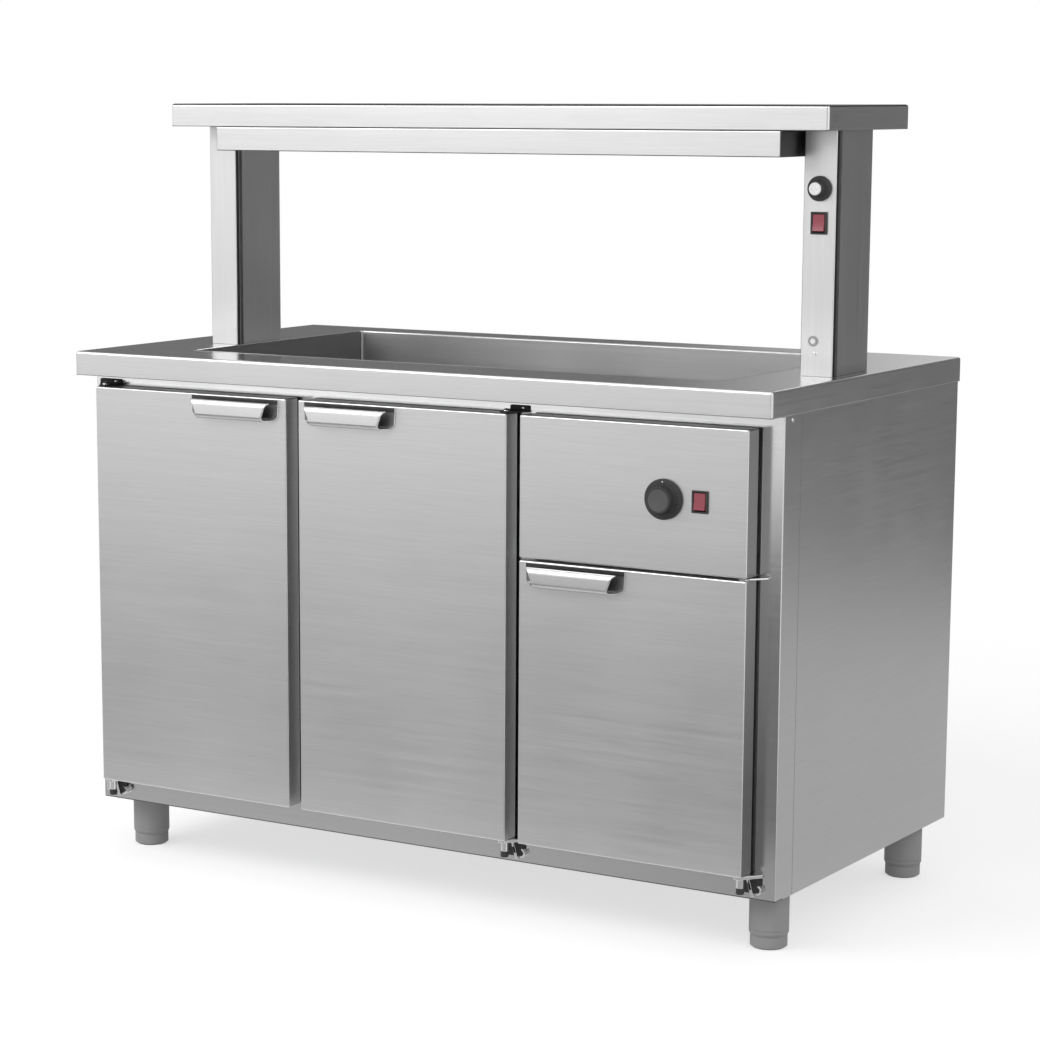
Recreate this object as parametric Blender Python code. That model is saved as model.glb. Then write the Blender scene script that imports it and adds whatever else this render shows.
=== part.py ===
"""Heated bain-marie counter: a three-bay cabinet, a sunken well and a heated overshelf.

Metres, +Z up. X runs along the counter, the doors face -Y, and the floor is at Z = 0.
"""

import math

import bmesh
import bpy
from mathutils import Matrix, Vector

# Clearances
SEAT_GAP = 0.0003
RUN_GAP = 0.0004
SEAM_GAP = 0.0006
CUT_OVER = 0.010

# Sheet thicknesses
TOP_SHEET = 0.0015
FRAME_SHEET = 0.0015
PANEL_SHEET = 0.0012
COVER_SHEET = 0.0012
TANK_SHEET = 0.0012

# Countertop
COUNTER_WIDTH = 1.300
COUNTER_DEPTH = 0.700
COUNTER_HEIGHT = 0.870
FASCIA_HEIGHT = 0.040
FASCIA_RETURN = 0.018

# Well, with its margins measured from the counter's edges
WELL_LEFT = 0.162
WELL_RIGHT = 0.146
WELL_FRONT = 0.122
WELL_BACK = 0.078
WELL_DEPTH = 0.200
WELL_CORNER = 0.030
WELL_FILLET = 0.012
RIM_WIDTH = 0.006
JACKET_WALL = 0.025
ELEMENT_SPACE = 0.012
ELEMENT_RADIUS = 0.004
ELEMENT_PASSES = 4
ELEMENT_PITCH = 0.100
ELEMENT_END_MARGIN = 0.060
ELEMENT_DRAIN_MARGIN = 0.150
ELEMENT_TAIL = 0.020

# Drain
DRAIN_MARGIN = 0.075
SPIGOT_RADIUS = 0.018
SPIGOT_BORE = 0.014
SPIGOT_LENGTH = 0.115
VALVE_RADIUS = 0.023
VALVE_HEIGHT = 0.085
STEM_RADIUS = 0.007
STEM_LENGTH = 0.014
LEVER_LENGTH = 0.070
LEVER_WIDTH = 0.016
LEVER_THICK = 0.004
LEVER_HUB_RADIUS = 0.011

# Cabinet
BASE_HEIGHT = 0.0915
SIDE_INSET = 0.004
BACK_INSET = 0.001
FRAME_SETBACK = 0.0515
FRAME_DEPTH = 0.025
CORNER_RETURN = 0.057
SIDE_FLANGE = 0.012
BACK_RECESS = 0.024
FLOOR_FLANGE = 0.020

# Doors and control panel
LEFT_MARGIN = 0.0335
RIGHT_MARGIN = 0.0425
DOOR_GAP = 0.024
DOOR_SETBACK = 0.0115
DOOR_THICK = 0.033
DOOR_TOP_DROP = 0.019
DOOR_BOTTOM_RISE = 0.042
PANEL_HEIGHT = 0.2215
PANEL_DOOR_GAP = 0.004
LINER_FLANGE = 0.010
GASKET_INSET = 0.010
GASKET_WIDTH = 0.012
OPENING_INSET = 0.026

# Door hinges
PIVOT_INSET = 0.009
PIN_RADIUS = 0.004
PIN_REACH = 0.012
BRACKET_SHEET = 0.0025
BRACKET_INWARD = 0.016
BRACKET_OUTWARD = 0.028
BRACKET_HEIGHT = 0.036
TOP_BRACKET_HEIGHT = 0.012
BRACKET_LIP = 0.012

# Door handles
HANDLE_TOP_LENGTH = 0.176
HANDLE_BOTTOM_LENGTH = 0.132
HANDLE_HEIGHT = 0.0365
HANDLE_DROP = 0.0015
HANDLE_EDGE = 0.013
HANDLE_PROJECTION = 0.022
HANDLE_SHEET = 0.002
HANDLE_BACK_HEIGHT = 0.020

# Legs
LEG_SIDE_INSET = 0.049
LEG_FRONT_INSET = 0.125
LEG_BACK_INSET = 0.0675
SLEEVE_RADIUS = 0.031
FOOT_RADIUS = 0.029
FOOT_HEIGHT = 0.0295
FOOT_CHAMFER = 0.004
FOOT_STEM_RADIUS = 0.010
FOOT_STEM_LENGTH = 0.060
SLEEVE_ROOF = 0.006

# Posts and overshelf
POST_LEFT_INSET = 0.099
POST_RIGHT_INSET = 0.0245
POST_WIDTH = 0.054
POST_DEPTH = 0.132
POST_SETBACK = 0.253
POST_COVER_FLANGE = 0.009
SHELF_RISE = 0.410
SHELF_HEIGHT = 0.038
SHELF_LEFT_OVERHANG = 0.0315
SHELF_RIGHT_OVERHANG = 0.016
SHELF_FRONT_OVERHANG = 0.066
SHELF_BACK_OVERHANG = 0.0945
SHELF_RETURN = 0.012

# Heat lamp under the overshelf
HOUSING_HEIGHT = 0.0395
HOUSING_SIDE_GAP = 0.0085
HOUSING_SETBACK = 0.001
HOUSING_DEPTH = 0.240
LAMP_RADIUS = 0.006
LAMP_CAP_RADIUS = 0.009
LAMP_CAP_LENGTH = 0.030
LAMP_RISE = 0.014
REFLECTOR_TOP = 0.090
REFLECTOR_BOTTOM = 0.170
REFLECTOR_DROP = 0.018

# Controls on the cabinet
KNOB_X_MARGIN = 0.1395
KNOB_DROP = 0.112
KNOB_SKIRT_RADIUS = 0.031
KNOB_SKIRT_HEIGHT = 0.006
KNOB_GRIP_RADIUS = 0.021
KNOB_PROJECTION = 0.020
SHAFT_RADIUS = 0.003
SHAFT_LENGTH = 0.014
THERMOSTAT_SIZE = 0.044
THERMOSTAT_DEPTH = 0.036
SWITCH_X_OFFSET = 0.061

# Controls on the right post
REGULATOR_DROP = 0.125
REGULATOR_SKIRT_RADIUS = 0.019
REGULATOR_GRIP_RADIUS = 0.012
REGULATOR_PROJECTION = 0.020
REGULATOR_SIZE = 0.036
REGULATOR_DEPTH = 0.034
POST_SWITCH_DROP = 0.177
PLUG_RISE = 0.054
PLUG_OFFSET = 0.006
PLUG_RADIUS = 0.008
PLUG_HEIGHT = 0.002
PLUG_NECK_RADIUS = 0.006
PLUG_NECK_LENGTH = 0.008

# Rocker switches
BEZEL_WIDTH = 0.027
BEZEL_HEIGHT = 0.034
BEZEL_THICK = 0.0025
SWITCH_BODY_DEPTH = 0.024
SWITCH_BORDER = 0.0035
ROCKER_SIDE_GAP = 0.0005
ROCKER_END_GAP = 0.0016
ROCKER_PIVOT_DEPTH = 0.0045
ROCKER_FACE_RISE = 0.0015
ROCKER_SLOPE = math.radians(6.0)
POCKET_DEPTH = 0.009

# Wiring
TERMINAL_WIDTH = 0.030
TERMINAL_LENGTH = 0.090
TERMINAL_HEIGHT = 0.028
TERMINAL_SIDE_MARGIN = 0.075
TERMINAL_FRONT_MARGIN = 0.060
GLAND_SIDE_MARGIN = 0.110
GLAND_RISE = 0.080
GLAND_RADIUS = 0.012
GLAND_NUT_RADIUS = 0.016
GLAND_NUT_LENGTH = 0.010
GLAND_PROJECTION = 0.020
GLAND_BORE = 0.006

# Round resolutions
COARSE = 16
FINE = 32
CORNER_STEPS = 4

# Derived places along the depth
FRONT_OVERHANG = max(HANDLE_PROJECTION, KNOB_PROJECTION) + SEAT_GAP - DOOR_SETBACK
COUNTER_FRONT = -COUNTER_DEPTH / 2 + max(FRONT_OVERHANG, 0.0) / 2
COUNTER_BACK = COUNTER_FRONT + COUNTER_DEPTH
DOOR_FRONT = COUNTER_FRONT + DOOR_SETBACK
DOOR_BACK = DOOR_FRONT + DOOR_THICK
FRAME_FRONT = COUNTER_FRONT + FRAME_SETBACK
FRAME_BACK = FRAME_FRONT + FRAME_DEPTH
CABINET_BACK = COUNTER_BACK - BACK_INSET
BACK_PANEL_FACE = CABINET_BACK - BACK_RECESS
BACK_PANEL_INNER = BACK_PANEL_FACE - PANEL_SHEET
POST_FRONT = COUNTER_FRONT + POST_SETBACK
POST_BACK = POST_FRONT + POST_DEPTH

# Derived places along the width
COUNTER_LEFT = -COUNTER_WIDTH / 2
COUNTER_RIGHT = COUNTER_WIDTH / 2
CABINET_HALF = COUNTER_WIDTH / 2 - SIDE_INSET
INNER_HALF = CABINET_HALF - max(FRAME_SHEET, PANEL_SHEET) - SEAT_GAP
DOOR_WIDTH = (COUNTER_WIDTH - LEFT_MARGIN - RIGHT_MARGIN - 2 * DOOR_GAP) / 3
WELL_X = (COUNTER_LEFT + WELL_LEFT, COUNTER_RIGHT - WELL_RIGHT)
WELL_Y = (COUNTER_FRONT + WELL_FRONT, COUNTER_BACK - WELL_BACK)
LEFT_POST_X = COUNTER_LEFT + POST_LEFT_INSET
RIGHT_POST_X = COUNTER_RIGHT - POST_RIGHT_INSET - POST_WIDTH
POST_MIDDLE = RIGHT_POST_X + POST_WIDTH / 2

# Derived heights
FASCIA_BOTTOM = COUNTER_HEIGHT - FASCIA_HEIGHT
CABINET_TOP = FASCIA_BOTTOM - SEAT_GAP
DOOR_TOP = FASCIA_BOTTOM - DOOR_TOP_DROP
DOOR_BOTTOM = BASE_HEIGHT + DOOR_BOTTOM_RISE
PANEL_BOTTOM = DOOR_TOP - PANEL_HEIGHT
LOWER_DOOR_TOP = PANEL_BOTTOM - PANEL_DOOR_GAP
FLOOR_TOP = BASE_HEIGHT + FLOOR_FLANGE
TANK_BOTTOM = COUNTER_HEIGHT - WELL_DEPTH - TANK_SHEET
JACKET_FLOOR = TANK_BOTTOM - ELEMENT_SPACE
JACKET_BOTTOM = JACKET_FLOOR - JACKET_WALL
SPIGOT_END = TANK_BOTTOM - SPIGOT_LENGTH
SHELF_TOP = COUNTER_HEIGHT + SHELF_RISE
SHELF_BOTTOM = SHELF_TOP - SHELF_HEIGHT
HOUSING_TOP = SHELF_BOTTOM - SEAT_GAP
HOUSING_BOTTOM = HOUSING_TOP - HOUSING_HEIGHT
DIVIDER_TOP = PANEL_BOTTOM - PANEL_DOOR_GAP / 2

# Finishes: colour, metallic, roughness
FINISHES = {
    "steel": ((0.58, 0.58, 0.58), 1.0, 0.30),
    "frame_steel": ((0.60, 0.60, 0.60), 1.0, 0.34),
    "inner_steel": ((0.50, 0.50, 0.50), 1.0, 0.42),
    "chrome": ((0.75, 0.75, 0.75), 1.0, 0.12),
    "rubber": ((0.02, 0.02, 0.02), 0.0, 0.70),
    "black_plastic": ((0.03, 0.03, 0.03), 0.0, 0.45),
    "red_plastic": ((0.28, 0.05, 0.07), 0.0, 0.35),
    "grey_plastic": ((0.35, 0.35, 0.35), 0.0, 0.45),
    "wool": ((0.75, 0.72, 0.55), 0.0, 0.95),
    "brass": ((0.60, 0.45, 0.18), 1.0, 0.30),
    "quartz": ((0.85, 0.80, 0.75), 0.0, 0.15),
}


def clear_scene():
    """Remove every object of the open scene."""
    for thing in list(bpy.data.objects):
        bpy.data.objects.remove(thing, do_unlink=True)


def finish(name):
    """Material of this name, made once."""
    material = bpy.data.materials.get(name)
    if material:
        return material
    colour, metallic, roughness = FINISHES[name]
    material = bpy.data.materials.new(name)
    material.use_nodes = True
    shader = material.node_tree.nodes["Principled BSDF"]
    shader.inputs["Base Color"].default_value = (*colour, 1.0)
    shader.inputs["Metallic"].default_value = metallic
    shader.inputs["Roughness"].default_value = roughness
    return material


def add_object(name, mesh_builder, material, smooth=False):
    """Turn a bmesh into a named object with its finish."""
    bmesh.ops.recalc_face_normals(mesh_builder, faces=mesh_builder.faces)
    mesh = bpy.data.meshes.new(name)
    mesh_builder.to_mesh(mesh)
    mesh_builder.free()
    if smooth:
        mesh.shade_smooth()
        mesh.set_sharp_from_angle(angle=math.radians(35))
    made = bpy.data.objects.new(name, mesh)
    bpy.context.scene.collection.objects.link(made)
    if material:
        mesh.materials.append(finish(material))
    return made


def place(axis, across, up, along):
    """World point from coordinates across, up and along an extrusion axis."""
    if axis == "X":
        return Vector((along, across, up))
    if axis == "Y":
        return Vector((across, along, up))
    return Vector((across, up, along))


def prism_mesh(outline, axis, low, high):
    """Prism of an outline. Its two coordinates are the axes left in X, Y, Z order."""
    builder = bmesh.new()
    near = [builder.verts.new(place(axis, a, b, low)) for a, b in outline]
    far = [builder.verts.new(place(axis, a, b, high)) for a, b in outline]
    count = len(outline)
    builder.faces.new(near)
    builder.faces.new(list(reversed(far)))
    for i in range(count):
        j = (i + 1) % count
        builder.faces.new((near[i], far[i], far[j], near[j]))
    return builder


def prism(name, outline, axis, low, high, material, smooth=False):
    return add_object(name, prism_mesh(outline, axis, low, high), material, smooth)


def rectangle(a0, a1, b0, b1):
    return [(a0, b0), (a1, b0), (a1, b1), (a0, b1)]


def block(name, x, y, z, material):
    """Box between the pairs x, y and z."""
    return prism(name, rectangle(*x, *y), "Z", *z, material)


def sheet_outline(path, thickness):
    """Closed outline of a folded sheet: a path of its outer side, thickened to its left."""
    offset = []
    for i, point in enumerate(path):
        here = Vector(point)
        before = (here - Vector(path[i - 1])).normalized() if i else None
        after = (Vector(path[i + 1]) - here).normalized() if i + 1 < len(path) else None
        first = before or after
        second = after or before
        left_first = Vector((-first.y, first.x))
        left_second = Vector((-second.y, second.x))
        middle = (left_first + left_second).normalized()
        offset.append(here + middle * (thickness / middle.dot(left_first)))
    return [tuple(p) for p in path] + [tuple(p) for p in reversed(offset)]


def arc(centre, radius, start, end, steps):
    """Points of an arc in degrees, both ends included."""
    points = []
    for i in range(steps + 1):
        angle = math.radians(start + (end - start) * i / steps)
        points.append((centre[0] + radius * math.cos(angle), centre[1] + radius * math.sin(angle)))
    return points


def rounded_rectangle(x, y, radius):
    """Rounded rectangle between the pairs x and y."""
    points = []
    points += arc((x[1] - radius, y[0] + radius), radius, -90, 0, CORNER_STEPS)
    points += arc((x[1] - radius, y[1] - radius), radius, 0, 90, CORNER_STEPS)
    points += arc((x[0] + radius, y[1] - radius), radius, 90, 180, CORNER_STEPS)
    points += arc((x[0] + radius, y[0] + radius), radius, 180, 270, CORNER_STEPS)
    return points


def grown(pair, amount):
    return (pair[0] - amount, pair[1] + amount)


def turned_mesh(profile, axis, centre, sides):
    """Body of revolution. The profile lists (radius, distance along the axis), from axis to axis."""
    builder = bmesh.new()
    rings = []
    for radius, along in profile:
        ring = []
        for i in range(1 if radius == 0 else sides):
            angle = 2 * math.pi * i / sides
            across, up = radius * math.cos(angle), radius * math.sin(angle)
            ring.append(builder.verts.new(Vector(centre) + place(axis, across, up, along)))
        rings.append(ring)
    for first, second in zip(rings, rings[1:]):
        for i in range(sides):
            j = (i + 1) % sides
            corners = [first[i % len(first)], first[j % len(first)]]
            corners += [second[j % len(second)], second[i % len(second)]]
            builder.faces.new(list(dict.fromkeys(corners)))
    return builder


def turned(name, profile, axis, centre, material, sides=FINE):
    return add_object(name, turned_mesh(profile, axis, centre, sides), material, smooth=True)


def cylinder_profile(radius, low, high):
    return [(0, low), (radius, low), (radius, high), (0, high)]


def as_cutter(tool):
    """Hide a shape that only serves to cut or join another."""
    tool.hide_render = True
    tool.hide_viewport = False
    tool.display_type = "WIRE"
    return tool


def combine(target, tool, operation):
    """Boolean of a target with a helper shape."""
    as_cutter(tool)
    modifier = target.modifiers.new(f"{operation.lower()}_{tool.name}", "BOOLEAN")
    modifier.operation = operation
    modifier.solver = "EXACT"
    modifier.object = tool


def cut(target, tool):
    combine(target, tool, "DIFFERENCE")


def join(target, tool):
    combine(target, tool, "UNION")


def cut_block(target, x, y, z):
    cut(target, block(f"cut_{target.name}_{len(target.modifiers)}", x, y, z, None))


def cut_round(target, axis, centre, radius, low, high, sides=COARSE):
    name = f"cut_{target.name}_{len(target.modifiers)}"
    cut(target, turned(name, cylinder_profile(radius, low, high), axis, centre, None, sides))


def set_origin(made, point):
    """Put an object's origin at a point of its joint axis."""
    made.data.transform(Matrix.Translation(-Vector(point)))
    made.location = point


def rectangle_ring(name, x, z, width, y, material):
    """Flat rectangular ring of one width, facing along Y."""
    builder = bmesh.new()
    loops = []
    for inset in (0.0, width):
        outline = rectangle(*grown(x, -inset), *grown(z, -inset))
        for depth in y:
            loops.append([builder.verts.new((a, depth, b)) for a, b in outline])
    outer_front, outer_back, inner_front, inner_back = loops
    pairs = [(outer_front, outer_back), (inner_front, inner_back)]
    pairs += [(outer_front, inner_front), (outer_back, inner_back)]
    for first, second in pairs:
        for i in range(4):
            j = (i + 1) % 4
            builder.faces.new((first[i], first[j], second[j], second[i]))
    return add_object(name, builder, material)


def open_box(name, x, y, z, sheet, lip, material):
    """Folded tray, open below, with a lip turned in along its lower edge."""
    tray = block(name, x, y, z, material)
    cut_block(tray, grown(x, -sheet), grown(y, -sheet), (z[0] + sheet, z[1] - sheet))
    cut_block(tray, grown(x, -lip), grown(y, -lip), (z[0] - CUT_OVER, z[0] + 2 * sheet))
    return tray


# Countertop and well


def make_countertop():
    """Folded steel top with its fascia and the hole for the well."""
    top = open_box("countertop", (COUNTER_LEFT, COUNTER_RIGHT), (COUNTER_FRONT, COUNTER_BACK),
                   (FASCIA_BOTTOM, COUNTER_HEIGHT), TOP_SHEET, FASCIA_RETURN, "steel")
    clear = TANK_SHEET + SEAT_GAP
    hole = rounded_rectangle(grown(WELL_X, clear), grown(WELL_Y, clear), WELL_CORNER + clear)
    low = FASCIA_BOTTOM + FASCIA_HEIGHT / 2
    cut(top, prism("cut_well_hole", hole, "Z", low, COUNTER_HEIGHT + CUT_OVER, None))


def well_ring(builder, offset, height):
    outline = rounded_rectangle(grown(WELL_X, offset), grown(WELL_Y, offset), WELL_CORNER + offset)
    return [builder.verts.new((a, b, height)) for a, b in outline]


def make_well_tank():
    """Pressed tank with a rim on the countertop and a drain spigot welded below."""
    builder = bmesh.new()
    floor = COUNTER_HEIGHT - WELL_DEPTH
    rim_low = COUNTER_HEIGHT + SEAT_GAP
    rim_out = TANK_SHEET + SEAT_GAP + RIM_WIDTH
    bend = []
    for offset, height in arc((-WELL_FILLET, floor + WELL_FILLET), WELL_FILLET, -90, 0, 3):
        bend.append((offset, height))
    outer_bend = []
    for offset, height in arc((-WELL_FILLET, floor + WELL_FILLET), WELL_FILLET + TANK_SHEET, 0, -90, 3):
        outer_bend.append((offset, height))
    levels = bend + [(0.0, rim_low + TANK_SHEET), (rim_out, rim_low + TANK_SHEET), (rim_out, rim_low)]
    levels += [(TANK_SHEET, rim_low)] + outer_bend
    rings = [well_ring(builder, offset, height) for offset, height in levels]
    for first, second in zip(rings, rings[1:]):
        for i in range(len(first)):
            j = (i + 1) % len(first)
            builder.faces.new((first[i], first[j], second[j], second[i]))
    builder.faces.new(rings[0])
    builder.faces.new(rings[-1])
    tank = add_object("well_tank", builder, "steel")
    centre = (*drain_centre(), 0)
    tube = cylinder_profile(SPIGOT_RADIUS, SPIGOT_END, TANK_BOTTOM + TANK_SHEET / 2)
    join(tank, turned("join_spigot", tube, "Z", centre, None, COARSE))
    cut_round(tank, "Z", centre, SPIGOT_BORE, SPIGOT_END - CUT_OVER, TANK_BOTTOM + CUT_OVER)


def drain_centre():
    return (WELL_X[1] - DRAIN_MARGIN, (WELL_Y[0] + WELL_Y[1]) / 2)


def element_rows():
    """Depths of the heating element's straight passes."""
    middle = (WELL_Y[0] + WELL_Y[1]) / 2
    first = middle - ELEMENT_PITCH * (ELEMENT_PASSES - 1) / 2
    return [first + ELEMENT_PITCH * i for i in range(ELEMENT_PASSES)]


def element_height():
    return TANK_BOTTOM - SEAT_GAP - ELEMENT_RADIUS


def make_insulation_jacket():
    """Mineral wool box round the tank, with holes for the spigot and the element's tails."""
    clear = TANK_SHEET + SEAT_GAP
    inner_x, inner_y = grown(WELL_X, clear), grown(WELL_Y, clear)
    top = COUNTER_HEIGHT - TOP_SHEET - SEAT_GAP
    jacket = block("insulation_jacket", grown(inner_x, JACKET_WALL), grown(inner_y, JACKET_WALL),
                   (JACKET_BOTTOM, top), "wool")
    cut_block(jacket, inner_x, inner_y, (JACKET_FLOOR, top + CUT_OVER))
    cut_round(jacket, "Z", (*drain_centre(), 0), SPIGOT_RADIUS + RUN_GAP, JACKET_BOTTOM - CUT_OVER,
              JACKET_FLOOR + CUT_OVER)
    for row in (element_rows()[0], element_rows()[-1]):
        cut_round(jacket, "X", (0, row, element_height()), ELEMENT_RADIUS + RUN_GAP, inner_x[1] - CUT_OVER,
                  inner_x[1] + JACKET_WALL + CUT_OVER)


def make_heating_element():
    """Tubular element in straight passes under the tank, both tails leaving on the right."""
    left = WELL_X[0] + ELEMENT_END_MARGIN
    right = WELL_X[1] - ELEMENT_DRAIN_MARGIN
    tail = WELL_X[1] + TANK_SHEET + SEAT_GAP + JACKET_WALL + ELEMENT_TAIL
    rows = element_rows()
    turn = ELEMENT_PITCH / 2
    route = [(tail, rows[0])]
    for i in range(ELEMENT_PASSES - 1):
        side = left if i % 2 == 0 else right
        swing = (-90, -270) if i % 2 == 0 else (-90, 90)
        route += arc((side, rows[i] + turn), turn, *swing, 8)
    route.append((tail, rows[-1]))
    curve = bpy.data.curves.new("heating_element", "CURVE")
    curve.dimensions = "3D"
    curve.bevel_depth = ELEMENT_RADIUS
    curve.bevel_resolution = 2
    curve.use_fill_caps = True
    spline = curve.splines.new("POLY")
    spline.points.add(len(route) - 1)
    for point, (a, b) in zip(spline.points, route):
        point.co = (a, b, element_height(), 1.0)
    made = bpy.data.objects.new("heating_element", curve)
    bpy.context.scene.collection.objects.link(made)
    curve.materials.append(finish("inner_steel"))


def valve_height():
    """Height of the drain valve's stem."""
    return SPIGOT_END - SEAT_GAP - VALVE_HEIGHT / 2


def make_drain_valve():
    """Ball valve on the spigot and its quarter-turn lever."""
    x, y = drain_centre()
    top = SPIGOT_END - SEAT_GAP
    bottom = top - VALVE_HEIGHT
    neck = SPIGOT_RADIUS
    wide, slope = VALVE_HEIGHT / 3, VALVE_HEIGHT / 4
    body = [(0, bottom), (neck, bottom), (neck, bottom + slope), (VALVE_RADIUS, bottom + wide)]
    body += [(VALVE_RADIUS, top - wide), (neck, top - slope), (neck, top), (0, top)]
    valve = turned("drain_valve", body, "Z", (x, y, 0), "brass", COARSE)
    stem_face = y - VALVE_RADIUS - STEM_LENGTH
    axis = (x, 0, valve_height())
    stem = cylinder_profile(STEM_RADIUS, stem_face, y)
    join(valve, turned("join_valve_stem", stem, "Y", axis, None, COARSE))
    cut_round(valve, "Z", (x, y, 0), SPIGOT_BORE, bottom - CUT_OVER, top + CUT_OVER)
    hub_face = stem_face - SEAT_GAP
    hub = cylinder_profile(LEVER_HUB_RADIUS, hub_face - 2 * LEVER_THICK, hub_face)
    lever = turned("drain_lever", hub, "Y", axis, "red_plastic", COARSE)
    depth = (hub_face - 1.5 * LEVER_THICK, hub_face - LEVER_THICK / 2)
    height = grown((valve_height(), valve_height()), LEVER_WIDTH / 2)
    join(lever, block("join_lever_bar", (x, x + LEVER_LENGTH), depth, height, None))
    set_origin(lever, (x, hub_face, valve_height()))


# Cabinet


def bay_edges(index):
    left = COUNTER_LEFT + LEFT_MARGIN + index * (DOOR_WIDTH + DOOR_GAP)
    return (left, left + DOOR_WIDTH)


def frame_openings():
    """Rectangles (x, z) of the four holes in the front frame."""
    tall = (DOOR_BOTTOM + OPENING_INSET, DOOR_TOP - OPENING_INSET)
    low = (DOOR_BOTTOM + OPENING_INSET, LOWER_DOOR_TOP - OPENING_INSET)
    high = (PANEL_BOTTOM + OPENING_INSET, DOOR_TOP - OPENING_INSET)
    holes = [(bay_edges(0), tall), (bay_edges(1), tall), (bay_edges(2), low), (bay_edges(2), high)]
    return [(grown(x, -OPENING_INSET), z) for x, z in holes]


def make_front_frame():
    """Folded face frame with four openings and corner returns on the cabinet's sides."""
    x, z = (-CABINET_HALF, CABINET_HALF), (BASE_HEIGHT, CABINET_TOP)
    frame = block("front_frame", x, (FRAME_FRONT, FRAME_BACK), z, "frame_steel")
    depth = (FRAME_FRONT + FRAME_SHEET, FRAME_BACK + CUT_OVER)
    hollow = block("cut_frame_hollow", grown(x, -FRAME_SHEET), depth, grown(z, -FRAME_SHEET), None)
    for hole_x, hole_z in frame_openings():
        cut_block(hollow, grown(hole_x, FRAME_SHEET), (FRAME_FRONT - CUT_OVER, FRAME_BACK + 2 * CUT_OVER),
                  grown(hole_z, FRAME_SHEET))
    cut(frame, hollow)
    for hole_x, hole_z in frame_openings():
        cut_block(frame, hole_x, (FRAME_FRONT - CUT_OVER, FRAME_BACK + CUT_OVER), hole_z)
    for side, name in ((-1, "left"), (1, "right")):
        wing_x = sorted((side * CABINET_HALF, side * (CABINET_HALF - FRAME_SHEET)))
        wing_y = (FRAME_FRONT + FRAME_DEPTH / 2, FRAME_FRONT + CORNER_RETURN)
        join(frame, block(f"join_corner_{name}", wing_x, wing_y, z, None))


def make_side_panel(name, side):
    """Side sheet behind the corner return, folded in at the back."""
    front = FRAME_FRONT + CORNER_RETURN + SEAM_GAP
    path = [(CABINET_HALF - SIDE_FLANGE, CABINET_BACK), (CABINET_HALF, CABINET_BACK), (CABINET_HALF, front)]
    path = [(side * a, b) for a, b in path]
    outline = sheet_outline(path, -PANEL_SHEET * side)
    prism(name, outline, "Z", BASE_HEIGHT, CABINET_TOP, "steel")


def gland_place():
    return (CABINET_HALF - GLAND_SIDE_MARGIN, BASE_HEIGHT + GLAND_RISE)


def make_back_panel():
    """Recessed back sheet, folded back along both sides, with the hole for the cable gland."""
    half = CABINET_HALF - PANEL_SHEET - SEAT_GAP
    edge = CABINET_BACK - PANEL_SHEET - SEAT_GAP
    path = [(-half, edge), (-half, BACK_PANEL_INNER), (half, BACK_PANEL_INNER), (half, edge)]
    back = prism("back_panel", sheet_outline(path, PANEL_SHEET), "Z", BASE_HEIGHT, CABINET_TOP, "steel")
    x, z = gland_place()
    through = (BACK_PANEL_INNER - CUT_OVER, BACK_PANEL_FACE + CUT_OVER)
    cut_round(back, "Y", (x, 0, z), GLAND_RADIUS + RUN_GAP, *through)


def make_floor_panel():
    """Floor of the cabinet, folded down along the front and the back."""
    front, back = FRAME_BACK + SEAT_GAP, BACK_PANEL_INNER - SEAT_GAP
    path = [(front, BASE_HEIGHT), (front, FLOOR_TOP), (back, FLOOR_TOP), (back, BASE_HEIGHT)]
    prism("floor_panel", sheet_outline(path, -PANEL_SHEET), "X", -INNER_HALF, INNER_HALF, "inner_steel")


def partition_x():
    """Left and right faces of the partition between the middle and right bays."""
    middle = (bay_edges(1)[1] + bay_edges(2)[0]) / 2
    return (middle - PANEL_SHEET / 2, middle + PANEL_SHEET / 2)


def make_partitions():
    """Upright partition of the right bay, and the shelf that parts its wiring space from the cupboard."""
    depth = (FRAME_BACK + SEAT_GAP, BACK_PANEL_INNER - SEAT_GAP)
    height = (FLOOR_TOP + SEAT_GAP, JACKET_BOTTOM - SEAT_GAP)
    block("bay_partition", partition_x(), depth, height, "inner_steel")
    divider = block("bay_divider", (partition_x()[1] + SEAT_GAP, INNER_HALF), depth,
                    (DIVIDER_TOP - PANEL_SHEET, DIVIDER_TOP), "inner_steel")
    cut_round(divider, "Z", (*drain_centre(), 0), SPIGOT_RADIUS + RUN_GAP, DIVIDER_TOP - CUT_OVER,
              DIVIDER_TOP + CUT_OVER)


def tray_front(name, x, z, material="steel"):
    """Door skin: a tray of folded sheet, open at the back."""
    skin = block(name, x, (DOOR_FRONT, DOOR_BACK), z, material)
    inside = (DOOR_FRONT + PANEL_SHEET, DOOR_BACK + CUT_OVER)
    cut_block(skin, grown(x, -PANEL_SHEET), inside, grown(z, -PANEL_SHEET))
    return skin


def make_gasket(name, x, z):
    y = (DOOR_BACK + SEAT_GAP, FRAME_FRONT - SEAT_GAP)
    return rectangle_ring(name, grown(x, -GASKET_INSET), grown(z, -GASKET_INSET), GASKET_WIDTH, y, "rubber")


def handle_outline(top):
    """Section of the pull handle: a hook of sheet, open at the top, as (depth, height)."""
    near, far = DOOR_FRONT - SEAT_GAP, DOOR_FRONT - SEAT_GAP - HANDLE_PROJECTION
    bottom = top - HANDLE_HEIGHT
    radius = (near - far) / 2
    centre = ((near + far) / 2, bottom + radius)
    path = [(near, bottom + HANDLE_BACK_HEIGHT)] + arc(centre, radius, 0, -180, 8) + [(far, top)]
    return sheet_outline(path, -HANDLE_SHEET)


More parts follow.
